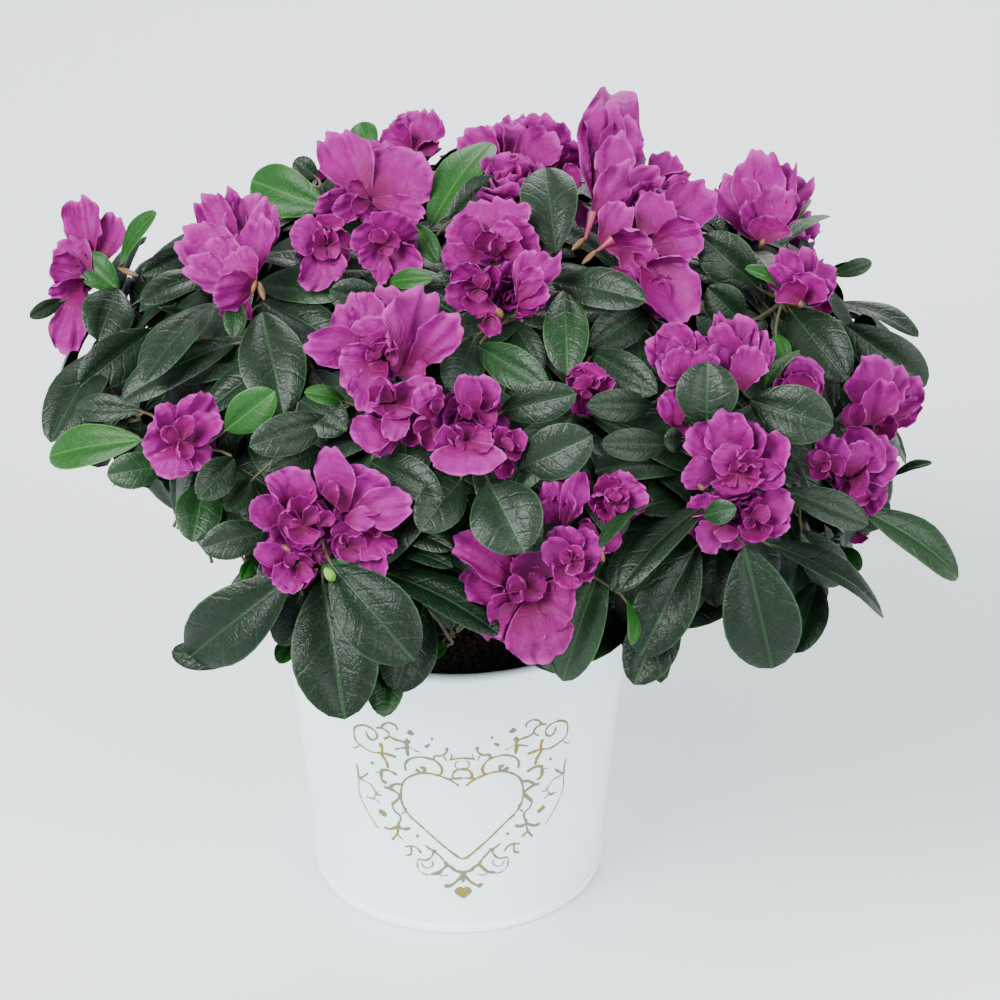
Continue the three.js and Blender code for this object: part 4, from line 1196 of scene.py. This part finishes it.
# The petals that the photograph shows, as root x and y, tip x and y and breadth in its pixels,
# and the crown's shell that the tip lies on.
petals_seen = [
    (92, 262, 82, 199, 42, .97), (100, 264, 112, 216, 36, .93), (86, 272, 49, 266, 40, .97),
    (84, 280, 48, 294, 26, .95), (78, 285, 66, 356, 38, .96), (90, 275, 60, 240, 36, .98),
    (238, 268, 176, 244, 34, .97), (240, 262, 203, 196, 44, .97), (246, 262, 228, 186, 22, .96),
    (250, 262, 247, 195, 44, .96), (256, 270, 268, 205, 32, .97), (252, 278, 262, 222, 44, .98),
    (248, 282, 192, 228, 44, .98), (250, 284, 186, 262, 36, .99), (252, 285, 208, 240, 40, 1.0),
    (256, 284, 212, 292, 46, 1.01), (254, 286, 235, 250, 44, 1.01), (238, 297, 222, 318, 20, .93),
    (246, 298, 250, 320, 12, .94),
    (185, 445, 222, 418, 38, .96), (182, 440, 207, 392, 38, .96), (178, 438, 160, 404, 32, .96),
    (174, 440, 142, 452, 36, .97), (180, 445, 166, 480, 40, .98), (184, 445, 205, 468, 34, .97),
    (182, 440, 190, 415, 30, .99), (180, 440, 160, 430, 26, .99), (180, 440, 185, 462, 30, 1.0),
    (368, 197, 333, 137, 54, .98), (370, 197, 422, 158, 70, .98), (366, 199, 314, 208, 34, .98),
    (368, 199, 332, 214, 26, .99), (370, 200, 350, 212, 30, 1.0), (372, 201, 424, 218, 30, 1.0),
    (368, 196, 345, 185, 22, 1.0), (326, 243, 289, 232, 38, .97), (326, 242, 318, 214, 50, .96),
    (328, 244, 349, 232, 34, .96), (324, 248, 303, 289, 38, .98), (326, 248, 328, 284, 40, .98),
    (329, 248, 348, 266, 28, .98), (326, 244, 318, 228, 26, 1.0), (326, 244, 336, 232, 22, 1.0),
    (325, 247, 316, 258, 24, 1.0), (327, 247, 338, 256, 24, 1.0), (384, 242, 402, 214, 54, .97),
    (388, 242, 424, 268, 38, .98), (382, 243, 351, 238, 36, .97), (380, 246, 385, 286, 20, .97),
    (382, 244, 358, 262, 28, .98), (384, 243, 376, 228, 26, 1.0), (386, 244, 402, 240, 24, 1.0),
    (384, 246, 388, 256, 22, 1.0), (410, 152, 388, 126, 38, .95), (412, 152, 410, 115, 38, .94),
    (416, 152, 434, 114, 32, .95), (415, 155, 440, 140, 24, .94),
    (500, 168, 464, 136, 50, .94), (502, 168, 492, 126, 48, .93), (506, 168, 520, 127, 48, .93),
    (512, 170, 556, 138, 50, .94), (508, 178, 528, 158, 34, .97), (512, 180, 520, 178, 22, .97),
    (560, 185, 583, 172, 30, .93), (570, 195, 585, 228, 20, .92),
    (496, 248, 494, 197, 70, .97), (500, 250, 534, 228, 50, .97), (490, 248, 446, 232, 42, .97),
    (482, 255, 441, 262, 34, .98), (500, 252, 510, 222, 30, 1.0), (503, 256, 522, 245, 28, 1.0),
    (492, 252, 478, 230, 32, 1.0), (496, 256, 496, 236, 30, 1.01), (478, 288, 444, 292, 36, .99),
    (478, 286, 460, 262, 36, .99), (480, 286, 500, 268, 36, .99), (480, 292, 476, 320, 44, 1.0),
    (488, 312, 496, 338, 38, .97), (478, 287, 468, 276, 22, 1.01), (479, 287, 490, 276, 22, 1.01),
    (479, 289, 478, 304, 30, 1.02), (480, 287, 478, 272, 16, 1.03), (518, 302, 530, 250, 28, .98),
    (518, 302, 557, 253, 34, .98), (518, 303, 550, 290, 36, .99), (518, 302, 534, 316, 34, .98),
    (518, 300, 540, 268, 30, 1.0),
    (375, 352, 304, 345, 40, .97), (378, 348, 345, 298, 54, .97), (384, 345, 362, 293, 34, .97),
    (396, 372, 420, 292, 66, .97), (408, 368, 454, 314, 40, .98), (400, 372, 428, 370, 30, .97),
    (378, 356, 338, 358, 40, 1.0), (380, 355, 362, 318, 44, .99), (384, 356, 384, 335, 34, 1.0),
    (378, 362, 350, 396, 50, 1.0), (385, 362, 365, 414, 44, 1.0), (385, 356, 398, 352, 30, 1.01),
    (380, 358, 368, 345, 30, 1.02), (395, 400, 375, 378, 44, 1.01), (395, 402, 412, 384, 40, 1.0),
    (392, 404, 392, 420, 46, 1.0), (398, 404, 438, 386, 34, .99), (405, 410, 388, 440, 28, .98),
    (396, 432, 350, 436, 38, .96), (400, 428, 374, 455, 20, .95), (410, 430, 408, 448, 26, .95),
    (432, 418, 422, 384, 36, 1.0), (430, 420, 413, 430, 40, .99), (436, 415, 436, 395, 24, 1.01),
    (432, 425, 430, 452, 40, .99), (476, 412, 462, 374, 32, .99), (480, 410, 482, 374, 36, .98),
    (484, 412, 499, 390, 30, .99), (482, 415, 498, 415, 34, .99), (470, 420, 462, 402, 20, 1.01),
    (465, 442, 468, 477, 70, 1.02), (462, 444, 432, 450, 44, 1.01), (468, 444, 494, 440, 40, 1.01),
    (462, 442, 448, 428, 30, 1.01), (466, 440, 470, 420, 36, 1.0), (464, 442, 455, 445, 20, 1.03),
    (503, 448, 500, 426, 26, .98), (506, 448, 524, 432, 30, .98), (505, 450, 522, 458, 28, .98),
    (502, 455, 505, 480, 26, .97), (500, 455, 490, 472, 22, .98), (504, 448, 512, 440, 20, 1.0),
    (586, 388, 565, 375, 30, .96), (588, 386, 590, 362, 40, .96), (592, 388, 615, 378, 32, .96),
    (586, 390, 576, 418, 26, .96), (588, 392, 590, 418, 20, .96), (588, 388, 580, 376, 24, .98),
    (590, 387, 600, 378, 22, .98), (588, 390, 584, 400, 20, .98),
    (285, 520, 250, 502, 36, .97), (290, 510, 268, 474, 36, .97), (300, 505, 300, 467, 56, .97),
    (318, 500, 322, 480, 34, .97), (302, 522, 300, 494, 50, .99), (302, 524, 276, 518, 34, 1.0),
    (303, 526, 320, 505, 26, 1.0), (302, 526, 302, 546, 56, 1.02), (300, 524, 290, 522, 14, 1.02),
    (320, 525, 334, 512, 30, 1.0), (346, 545, 330, 545, 28, 1.0), (346, 543, 345, 520, 34, .99),
    (348, 545, 366, 540, 34, 1.0), (346, 547, 345, 563, 34, 1.02), (346, 544, 340, 534, 20, 1.01),
    (365, 535, 388, 556, 44, .98), (365, 540, 382, 578, 30, .98), (372, 530, 382, 530, 26, .98),
    (290, 565, 254, 548, 30, .98), (288, 568, 262, 570, 26, .98), (296, 566, 278, 590, 34, .99),
    (296, 568, 302, 590, 44, .99), (300, 562, 312, 580, 28, 1.0), (294, 565, 284, 556, 28, 1.0),
    (300, 562, 310, 556, 24, 1.0), (320, 556, 328, 560, 26, .98), (312, 552, 322, 562, 30, .97),
    (345, 512, 330, 446, 40, .97), (350, 512, 372, 468, 60, .97), (352, 514, 414, 502, 40, .98),
    (350, 510, 392, 484, 44, .97), (335, 505, 332, 480, 26, .99), (345, 518, 376, 522, 24, .99),
    (520, 590, 452, 535, 44, .93), (522, 592, 462, 590, 46, .94), (525, 595, 500, 640, 70, .95),
    (530, 598, 545, 664, 64, .96), (535, 592, 576, 612, 54, .96), (518, 585, 500, 548, 60, .93),
    (530, 582, 535, 550, 50, .94), (525, 590, 512, 575, 30, .97), (528, 590, 528, 602, 34, .98),
    (530, 588, 545, 578, 28, .97), (522, 590, 510, 600, 28, .97), (572, 560, 545, 540, 30, .99),
    (572, 560, 560, 525, 40, .98), (575, 560, 598, 535, 36, .99), (575, 562, 602, 556, 34, .99),
    (572, 564, 560, 588, 44, 1.0), (575, 564, 592, 580, 30, 1.0), (572, 560, 560, 552, 24, 1.02),
    (573, 560, 578, 545, 26, 1.02), (574, 562, 586, 560, 20, 1.02), (572, 563, 570, 575, 26, 1.03),
    (560, 530, 552, 480, 40, .93), (558, 530, 540, 500, 34, .93), (562, 525, 578, 468, 30, .93),
    (575, 480, 592, 480, 14, .94), (560, 510, 562, 492, 24, .95), (553, 540, 548, 515, 20, .93),
    (615, 502, 586, 500, 34, .95), (615, 500, 600, 476, 34, .95), (617, 500, 632, 474, 34, .95),
    (618, 502, 648, 492, 34, .95), (617, 504, 640, 512, 30, .95), (615, 505, 615, 526, 46, .96),
    (613, 503, 596, 520, 30, .96), (615, 502, 606, 490, 26, .98), (617, 502, 628, 490, 26, .98),
    (617, 503, 624, 512, 26, .98), (615, 503, 605, 508, 24, .98), (616, 502, 616, 492, 14, 1.0),
    (600, 540, 575, 530, 26, .93), (605, 540, 618, 548, 34, .92), (590, 525, 580, 520, 26, .93),
    (690, 370, 648, 338, 34, .97), (690, 368, 662, 325, 40, .97), (692, 366, 688, 330, 40, .96),
    (696, 368, 703, 335, 36, .96), (692, 378, 655, 362, 34, .98), (690, 380, 670, 350, 34, .99),
    (695, 385, 690, 350, 50, .98), (690, 386, 676, 390, 34, .98), (675, 425, 660, 395, 26, .93),
    (678, 425, 672, 388, 28, .94), (680, 420, 682, 440, 26, .92), (740, 385, 715, 325, 40, .97),
    (740, 385, 718, 312, 24, .96), (742, 385, 740, 315, 50, .96), (746, 385, 760, 330, 30, .96),
    (748, 375, 770, 338, 26, .96), (740, 390, 748, 345, 42, .99), (735, 390, 712, 345, 30, .98),
    (790, 395, 775, 380, 20, .93), (798, 398, 800, 370, 44, .94), (805, 400, 818, 378, 34, .94),
    (805, 402, 824, 405, 26, .94),
    (868, 425, 872, 355, 46, .95), (872, 425, 898, 362, 44, .94), (878, 425, 918, 378, 36, .95),
    (880, 428, 918, 398, 30, .94), (862, 425, 842, 408, 34, .96), (875, 435, 895, 418, 40, .94),
    (870, 425, 885, 380, 44, .97), (858, 428, 858, 402, 28, .97), (822, 465, 805, 455, 28, .97),
    (824, 462, 840, 436, 34, .96), (822, 466, 815, 480, 30, .97), (825, 466, 845, 460, 26, .97),
    (822, 463, 820, 450, 20, .99), (823, 464, 830, 470, 18, .99), (850, 470, 878, 435, 50, .96),
    (856, 470, 900, 455, 50, .96), (858, 475, 890, 480, 40, .96), (860, 485, 880, 512, 36, .96),
    (850, 480, 855, 508, 40, .96), (850, 475, 862, 440, 34, .98), (848, 480, 838, 488, 36, .96),
    (852, 480, 868, 490, 34, .98), (855, 530, 855, 546, 28, .9), (800, 480, 785, 478, 20, .94),
    (735, 465, 685, 432, 40, .96), (735, 460, 712, 414, 44, .96), (738, 460, 740, 420, 40, .96),
    (742, 458, 765, 430, 40, .96), (745, 462, 792, 452, 50, .96), (742, 470, 786, 480, 36, .97),
    (725, 470, 680, 475, 34, .97), (738, 470, 715, 450, 36, .99), (738, 468, 730, 445, 30, .99),
    (740, 470, 755, 450, 36, .99), (738, 474, 738, 498, 60, 1.01), (742, 472, 762, 475, 34, 1.0),
    (736, 470, 718, 480, 30, 1.0), (737, 470, 732, 462, 16, 1.01), (738, 470, 746, 464, 16, 1.01),
    (722, 520, 695, 495, 44, .96), (722, 520, 684, 525, 30, .96), (720, 525, 698, 546, 36, .96),
    (728, 525, 727, 542, 28, .97), (752, 515, 740, 515, 22, .98), (752, 514, 762, 498, 30, .97),
    (755, 514, 792, 495, 36, .96), (756, 516, 790, 528, 30, .96), (754, 518, 755, 545, 50, .98),
    (752, 516, 770, 510, 24, .99), (752, 517, 745, 528, 22, .99),
    (598, 222, 616, 90, 68, .95), (602, 215, 606, 108, 46, .95), (606, 205, 630, 116, 44, .96),
    (606, 200, 618, 138, 36, .97), (592, 222, 626, 164, 34, .97), (600, 215, 660, 172, 36, .96),
    (650, 185, 676, 155, 34, .95), (640, 190, 690, 172, 22, .96), (600, 242, 622, 205, 34, .98),
    (605, 245, 650, 235, 44, .98), (640, 235, 668, 200, 40, .98), (645, 240, 712, 190, 60, .95),
    (650, 245, 705, 235, 50, .95), (650, 215, 700, 180, 30, .95), (620, 250, 655, 275, 40, .98),
    (635, 262, 645, 255, 24, 1.0), (640, 270, 690, 262, 36, .96), (645, 265, 690, 320, 64, .97),
    (640, 265, 665, 318, 40, .96), (610, 268, 640, 300, 36, .96),
    (755, 240, 722, 185, 50, .94), (758, 240, 755, 155, 50, .94), (762, 240, 790, 165, 46, .94),
    (766, 240, 812, 180, 34, .94), (765, 242, 800, 200, 34, .95), (760, 235, 745, 200, 40, .96),
    (764, 240, 778, 190, 44, .97), (764, 244, 770, 215, 50, .98), (800, 302, 770, 265, 28, .95),
    (800, 302, 782, 250, 30, .95), (802, 302, 805, 248, 40, .95), (806, 302, 828, 262, 36, .95),
    (806, 304, 834, 285, 30, .95), (800, 303, 786, 280, 40, .97), (806, 303, 818, 275, 40, .97),
    (812, 300, 832, 315, 20, .94),
]
petal_root_depth = 0.09
petal_slope = 0.4
petal_half_share = 0.56
tight_below = 30
highest_petal = 296

# The lowest bloom in front has its roots below this pixel. Its petals are of a darker colour, painted shade
# under the crown.
shaded_below = 575


def petal_grids(petals, s, u):
    """Grids of points for petals. Each row is one petal's frame and its sizes in mm and radians."""
    origin, ex, ey, ez = (np.array([p[k] for p in petals])[:, None, None] for k in range(4))
    phi, length, half, foot, height, open0, open1, cup, ruffle, waves, phase, curl, skew = (
        np.array([p[4][k] for p in petals])[:, None, None] for k in range(13))
    s = s[None, :, None]
    u = u[None, None, :]
    notch = 0.018 * np.sin(7.5 * u + phase) + 0.012 * np.sin(13 * u + 2.3 * phase)
    reach = s * (1 - 0.2 * np.abs(u) ** 2.6 * s) + notch * s ** 3
    wander = 0.05 * np.sin(13 * s + phase + 2 * np.sign(u)) + 0.03 * np.sin(24 * s + 3 * phase + np.sign(u))
    widening = 0.18 + 0.82 * np.sin(np.minimum(s / 0.68, 1) * math.pi / 2) ** 1.15
    width = half * (1 + s * wander) * np.where(s < 0.68, widening, 1 - 1.9 * (s - 0.68) ** 2)
    swing = open1 - open0
    swing = np.where(np.abs(swing) < 0.02, 0.02, swing)
    theta = open0 + swing * reach
    r = foot + length * (np.cos(open0) - np.cos(theta)) / swing
    h = height + length * (np.sin(theta) - np.sin(open0)) / swing
    lateral = width * np.sin(cup * u) / cup
    lift = width * (1 - np.cos(cup * u)) / cup + skew * width * u * s
    lift = lift + length * curl * np.maximum(reach - 0.6, 0) ** 2
    margin = np.clip((np.maximum(np.abs(u) ** 1.5, s ** 1.5) - 0.25) / 0.75, 0, 1) * np.clip(s / 0.35, 0, 1)
    round_edge = np.arctan2(u * half, (s + 0.1) * length)
    frills = np.sin(waves * 8 * round_edge + phase) + 0.45 * np.sin(waves * 14 * round_edge + 2.7 * phase)
    pleats = np.sin(8 * u + 2 * phase) + 0.6 * np.sin(13 * u + 5 * phase)
    lift = lift + length * (ruffle * margin * frills + 0.011 * s * pleats)
    for k, share in ((1.0, 0.034), (2.3, 0.022)):
        heading = phase * k
        wave = lateral * np.cos(heading) / length + s * np.sin(heading)
        wave = wave / (0.4 + 0.06 * np.sin(phase * 5 * k))
        lift = lift + length * share * s * np.sin(2 * math.pi * wave + phase * 3 * k)
    er = ex * np.cos(phi)[..., None] + ey * np.sin(phi)[..., None]
    et = ey * np.cos(phi)[..., None] - ex * np.sin(phi)[..., None]
    inward = ez * np.sin(theta)[..., None] - er * np.cos(theta)[..., None]
    return origin + er * r[..., None] + ez * h[..., None] + inward * lift[..., None] - et * lateral[..., None]


petals = {"broad": [], "shaded": [], "rosette": [], "outer": [], "second": [], "middle": [], "inner": []}
roll = dice(bloom_seed - 1)
petal_roots = []
for x0, y0, x1, y1, breadth, level in petals_seen:
    root = on_shell(x0, y0, level - petal_root_depth)
    tip = on_shell(x1, y1, level, root, petal_slope)
    if tip[2] > highest_petal:
        tip_sight = unit(tip - camera_place)
        back = (highest_petal - tip[2]) / tip_sight[2]
        tip = tip + tip_sight * back
        root = root + unit(root - camera_place) * back * 0.5
    along = unit(tip - root)
    face = seen_face(root, along)
    length = np.linalg.norm(tip - root)
    half = seen_size(petal_half_share * breadth, root)
    tight = math.hypot(x1 - x0, y1 - y0) < tight_below
    bend = math.radians(between((-42, -8) if tight else (-8, 34), roll()))
    cup = math.radians(between((45, 115) if tight else (-25, 75), roll())) + 0.03
    turn = math.radians(between((-32, 32), roll()))
    face = face * math.cos(turn) + np.cross(face, along) * math.sin(turn)
    petal_roots.append(root)
    kind = "shaded" if y0 > shaded_below else "rosette" if tight else "broad"
    petals[kind].append((root, along, np.cross(face, along), face, (
        0, length, half, 0, 0, math.pi / 2 - bend, math.pi / 2 + bend, cup, between((0.03, 0.06), roll()),
        between((2.0, 3.2), roll()), 6.3 * roll(), between((-0.3, 0.9), roll()),
        between((-0.3, 0.3), roll()))))

flower_feet = []
for shoot in shoots:
    if not shoot["width"]:
        continue
    roll = dice(bloom_seed + shoot["index"])
    axis, width, opening = shoot["axis"], shoot["width"] * bloom_spread, usual_opening
    place = shoot["place"]
    if shoot["index"] in facing:
        right, rise, opening, *own_share = facing[shoot["index"]]
        sight = unit(camera_place - place)
        axis = unit(sight + view_right * right + view_up * rise)
        width *= own_share[0] if own_share else backing_share
        place = place - sight * backing_depth
    seat = place - axis * width * bloom_depth
    ex = unit(np.cross(axis, (0.31, 0.2, 0.93)))
    ey = np.cross(axis, ex)
    turn = 2 * math.pi * roll()
    flower_feet.append((seat, axis, shoot["seat"]))
    for ring in petal_rings:
        for i in range(ring["count"]):
            phi = turn + 2 * math.pi * (i + between((-0.22, 0.22), roll())) / ring["count"]
            size = between((0.84, 1.14), roll()) * width
            lean = between((-14, 14), roll())
            open0, open1 = (math.radians((angle + lean) * opening) for angle in ring["open"])
            foot, height = (share * width for share in ring["foot"])
            cup = math.radians(ring["cup"] * between((0.5, 1.4), roll()))
            petals[ring["kind"]].append((seat, ex, ey, axis, (
                phi, ring["length"] * size, ring["half"] * size * between((0.85, 1.15), roll()), foot, height,
                open0, open1, cup, ring["ruffle"] * between((0.6, 1.5), roll()),
                ring["waves"] * between((0.8, 1.2), roll()), 6.3 * roll(), between((-0.6, 0.8), roll()),
                between((-0.4, 0.4), roll()))))
        turn += ring_turn


def petal_material(name, base, edge, shaded):
    """A soft thin petal with faint long veins, darker towards its foot (its own colour and painted shade in
    the bloom's heart) and paler at the rim (painted highlight).
    """
    material, tree, shader = new_material(name, Roughness=0.55, Specular_IOR_Level=0.14,
                                          Subsurface_Weight=0.12, Subsurface_Scale=0.002)
    shader.inputs["Subsurface Radius"].default_value = (1.0, 0.3, 0.7)
    uv, along, off = blade_places(tree)
    # Darker towards the foot: partly the petal's own colour, partly painted shade in the bloom's heart.
    foot = ramp(tree, along, 0.1, 0.7, (1.0, 0.0))
    # A paler rim: painted highlight of light through the thin edge.
    rim = maths(tree, "MAXIMUM", ramp(tree, along, 0.86, 1.0), ramp(tree, off, 0.43, 0.5))
    stretch = add(tree, "ShaderNodeMapping", {"Vector": uv, "Scale": (24, 1.6, 1)})
    streak = clouds(tree, stretch.outputs["Vector"], 1.0, 3.0)
    blade = tint(tree, maths(tree, "ADD", foot, maths(tree, "MULTIPLY", streak, 0.16)), base, shaded)
    colour = tint(tree, maths(tree, "MULTIPLY", rim, 0.7), blade, edge)
    crumple = clouds(tree, own_place(tree), 190.0, 2.0, 0.6)
    skin(tree, shader, colour, maths(tree, "MULTIPLY_ADD", streak, 0.25, crumple), 0.6, 0.002)
    return material


# The middle petals, also used for the tight rosette petals in front, and the inner petals are darker copies
# of the outer petal: painted shade in the bloom's folds.
broad_petal = petal_material("silky_outer_petal", "#730562", "#982e85", "#5a033e")
middle_petal = petal_material("silky_middle_petal_half_shaded", "#6f0457", "#932a80", "#530237")
inner_petal = petal_material("silky_inner_petal_shaded", "#65034b", "#882475", "#49022d")
# The lowest bloom in front: a darker copy of the outer petal, painted shade under the crown.
shaded_petal = petal_material("silky_shaded_petal", "#640250", "#882274", "#500234")
petal_looks = {"broad": (broad_petal, 11, 19), "shaded": (shaded_petal, 11, 19),
               "rosette": (middle_petal, 9, 13), "outer": (broad_petal, 9, 15),
               "second": (broad_petal, 9, 13), "middle": (middle_petal, 8, 11),
               "inner": (inner_petal, 7, 9)}
for kind, (material, rows, columns) in petal_looks.items():
    s, u = np.linspace(0, 1, rows), np.linspace(-1, 1, columns)
    grids = petal_grids(petals[kind], s, u)
    blades_piece(f"petals_{kind}", grids, petal_thickness, s, u[None, :], material, "petals")


# Flower tubes and bud scales: every bloom narrows to a short red tube that stands in a knot of
# orange-brown scales on the end of its twig. A few show in front, and some small green buds too.
tube_length = 4
tube_in_bloom = 3
tube_radii = (1.2, 1.3, 1.5, 1.9, 2.5, 3.2)
scale_radii = (0.9, 1.2, 1.7, 1.9, 1.6, 1.1)
petal_foot_reach = 11
petal_foot_radii = (0.9, 0.7, 0.9)
seen_tube_shape = (0.5, 0.6, 0.75, 1, 1.35, 1.8)
seen_knot_shape = (0.3, 0.8, 1, 0.95, 0.7, 0.15)
seen_knot_depth = 0.03

# The ones that show, as root x and y, tip x and y and breadth in pixels, the tip's shell, and a
# kind: 0 is a knot of scales, 1 a tube and 2 a green bud.
tubes_seen = [
    (585, 240, 593, 214, 7, .93, 1), (572, 250, 585, 238, 7, .92, 0), (597, 251, 612, 240, 7, .96, 1),
    (582, 264, 597, 250, 6, .95, 0), (138, 276, 118, 268, 6, .94, 0), (264, 300, 259, 282, 7, .95, 0),
    (252, 294, 256, 280, 6, .96, 0), (282, 545, 290, 551, 6, 1.0, 0), (704, 490, 698, 484, 6, .97, 0),
    (502, 318, 497, 308, 8, .98, 0), (604, 562, 602, 550, 4, .98, 0),
    (334, 580, 325, 568, 12, 1.0, 2), (760, 248, 764, 239, 6, .95, 0), (800, 308, 801, 301, 6, .95, 0),
]
knots = [new_curve(name) for name in ("bud_scales", "flower_tubes", "green_buds", "petal_feet")]
shares = np.linspace(0, 1, len(tube_radii))[:, None]
for seat, axis, twig_end in flower_feet:
    low = seat - axis * tube_length
    add_path(knots[0], twig_end + (low - twig_end) * shares, scale_radii)
    add_path(knots[1], low + (seat + axis * tube_in_bloom - low) * shares, tube_radii)
for root in petal_roots:
    foot = min((foot[0] for foot in flower_feet), key=lambda seat: np.linalg.norm(seat - root))
    if np.linalg.norm(foot - root) < petal_foot_reach:
        add_path(knots[3], foot + (root - foot) * shares[::2], petal_foot_radii)
for x0, y0, x1, y1, breadth, level, kind in tubes_seen:
    start = on_shell(x0, y0, level - seen_knot_depth)
    end = on_shell(x1, y1, level, start)
    radius = seen_size(breadth / 2, start)
    shape = seen_tube_shape if kind == 1 else seen_knot_shape
    add_path(knots[kind], start + (end - start) * shares, [radius * share for share in shape])

# The narrow petal feet are coloured like the petals' darkened feet, painted shade in the bloom's heart.
knot_looks = [(0, "papery_bud_scale", "#6b4518", "#33200c"), (1, "flower_tube_skin", "#7a0e2e", "#640b40"),
              (2, "green_bud_skin", "#5f9430", "#36661c"), (3, "narrow_petal_foot_shaded", "#7a0858", "#560340")]
for kind, label, light, dark in knot_looks:
    material = clouded_material(label, dark, light, 240.0, 3.0, 0.5, 0.0006, Roughness=0.5)
    mesh = made_by_nodes(knots[kind].name, knots[kind], tubes, {"Sides": 6, "Surface": material})
    finished(mesh)


# Floor and light: a plain pale floor, a broad soft light from the upper left and a weak sky.
floor_mesh = bpy.data.meshes.new("floor")
floor_mesh.from_pydata([(-6, -6, 0), (6, -6, 0), (6, 6, 0), (-6, 6, 0)], [], [(0, 1, 2, 3)])
floor = placed("floor", floor_mesh)
paint, tree, shader = new_material("matt_pale_paint", Roughness=0.8)
shader.inputs["Base Color"].default_value = linear("#d6dde1")
floor_mesh.materials.append(paint)

for name, place, aim, size, watts in [
        ("window", (-1.2, -1.15, 1.6), (0, 0, 0.15), 1.2, 145),
        ("fill", (1.7, -1.4, 1.2), (0, 0, 0.12), 1.8, 92),
        ("back", (0.3, 1.9, 1.5), (0, 0, 0.15), 1.4, 60)]:
    lamp = placed(name, bpy.data.lights.new(name, "AREA"))
    lamp.data.size = size
    lamp.data.energy = watts
    lamp.location = place
    lamp.rotation_euler = (Vector(aim) - Vector(place)).to_track_quat("-Z", "Y").to_euler()
world = bpy.data.worlds.new("soft_sky")
world.use_nodes = True
world.node_tree.nodes["Background"].inputs["Color"].default_value = linear("#eef3f6")
world.node_tree.nodes["Background"].inputs["Strength"].default_value = 0.88
bpy.context.scene.world = world
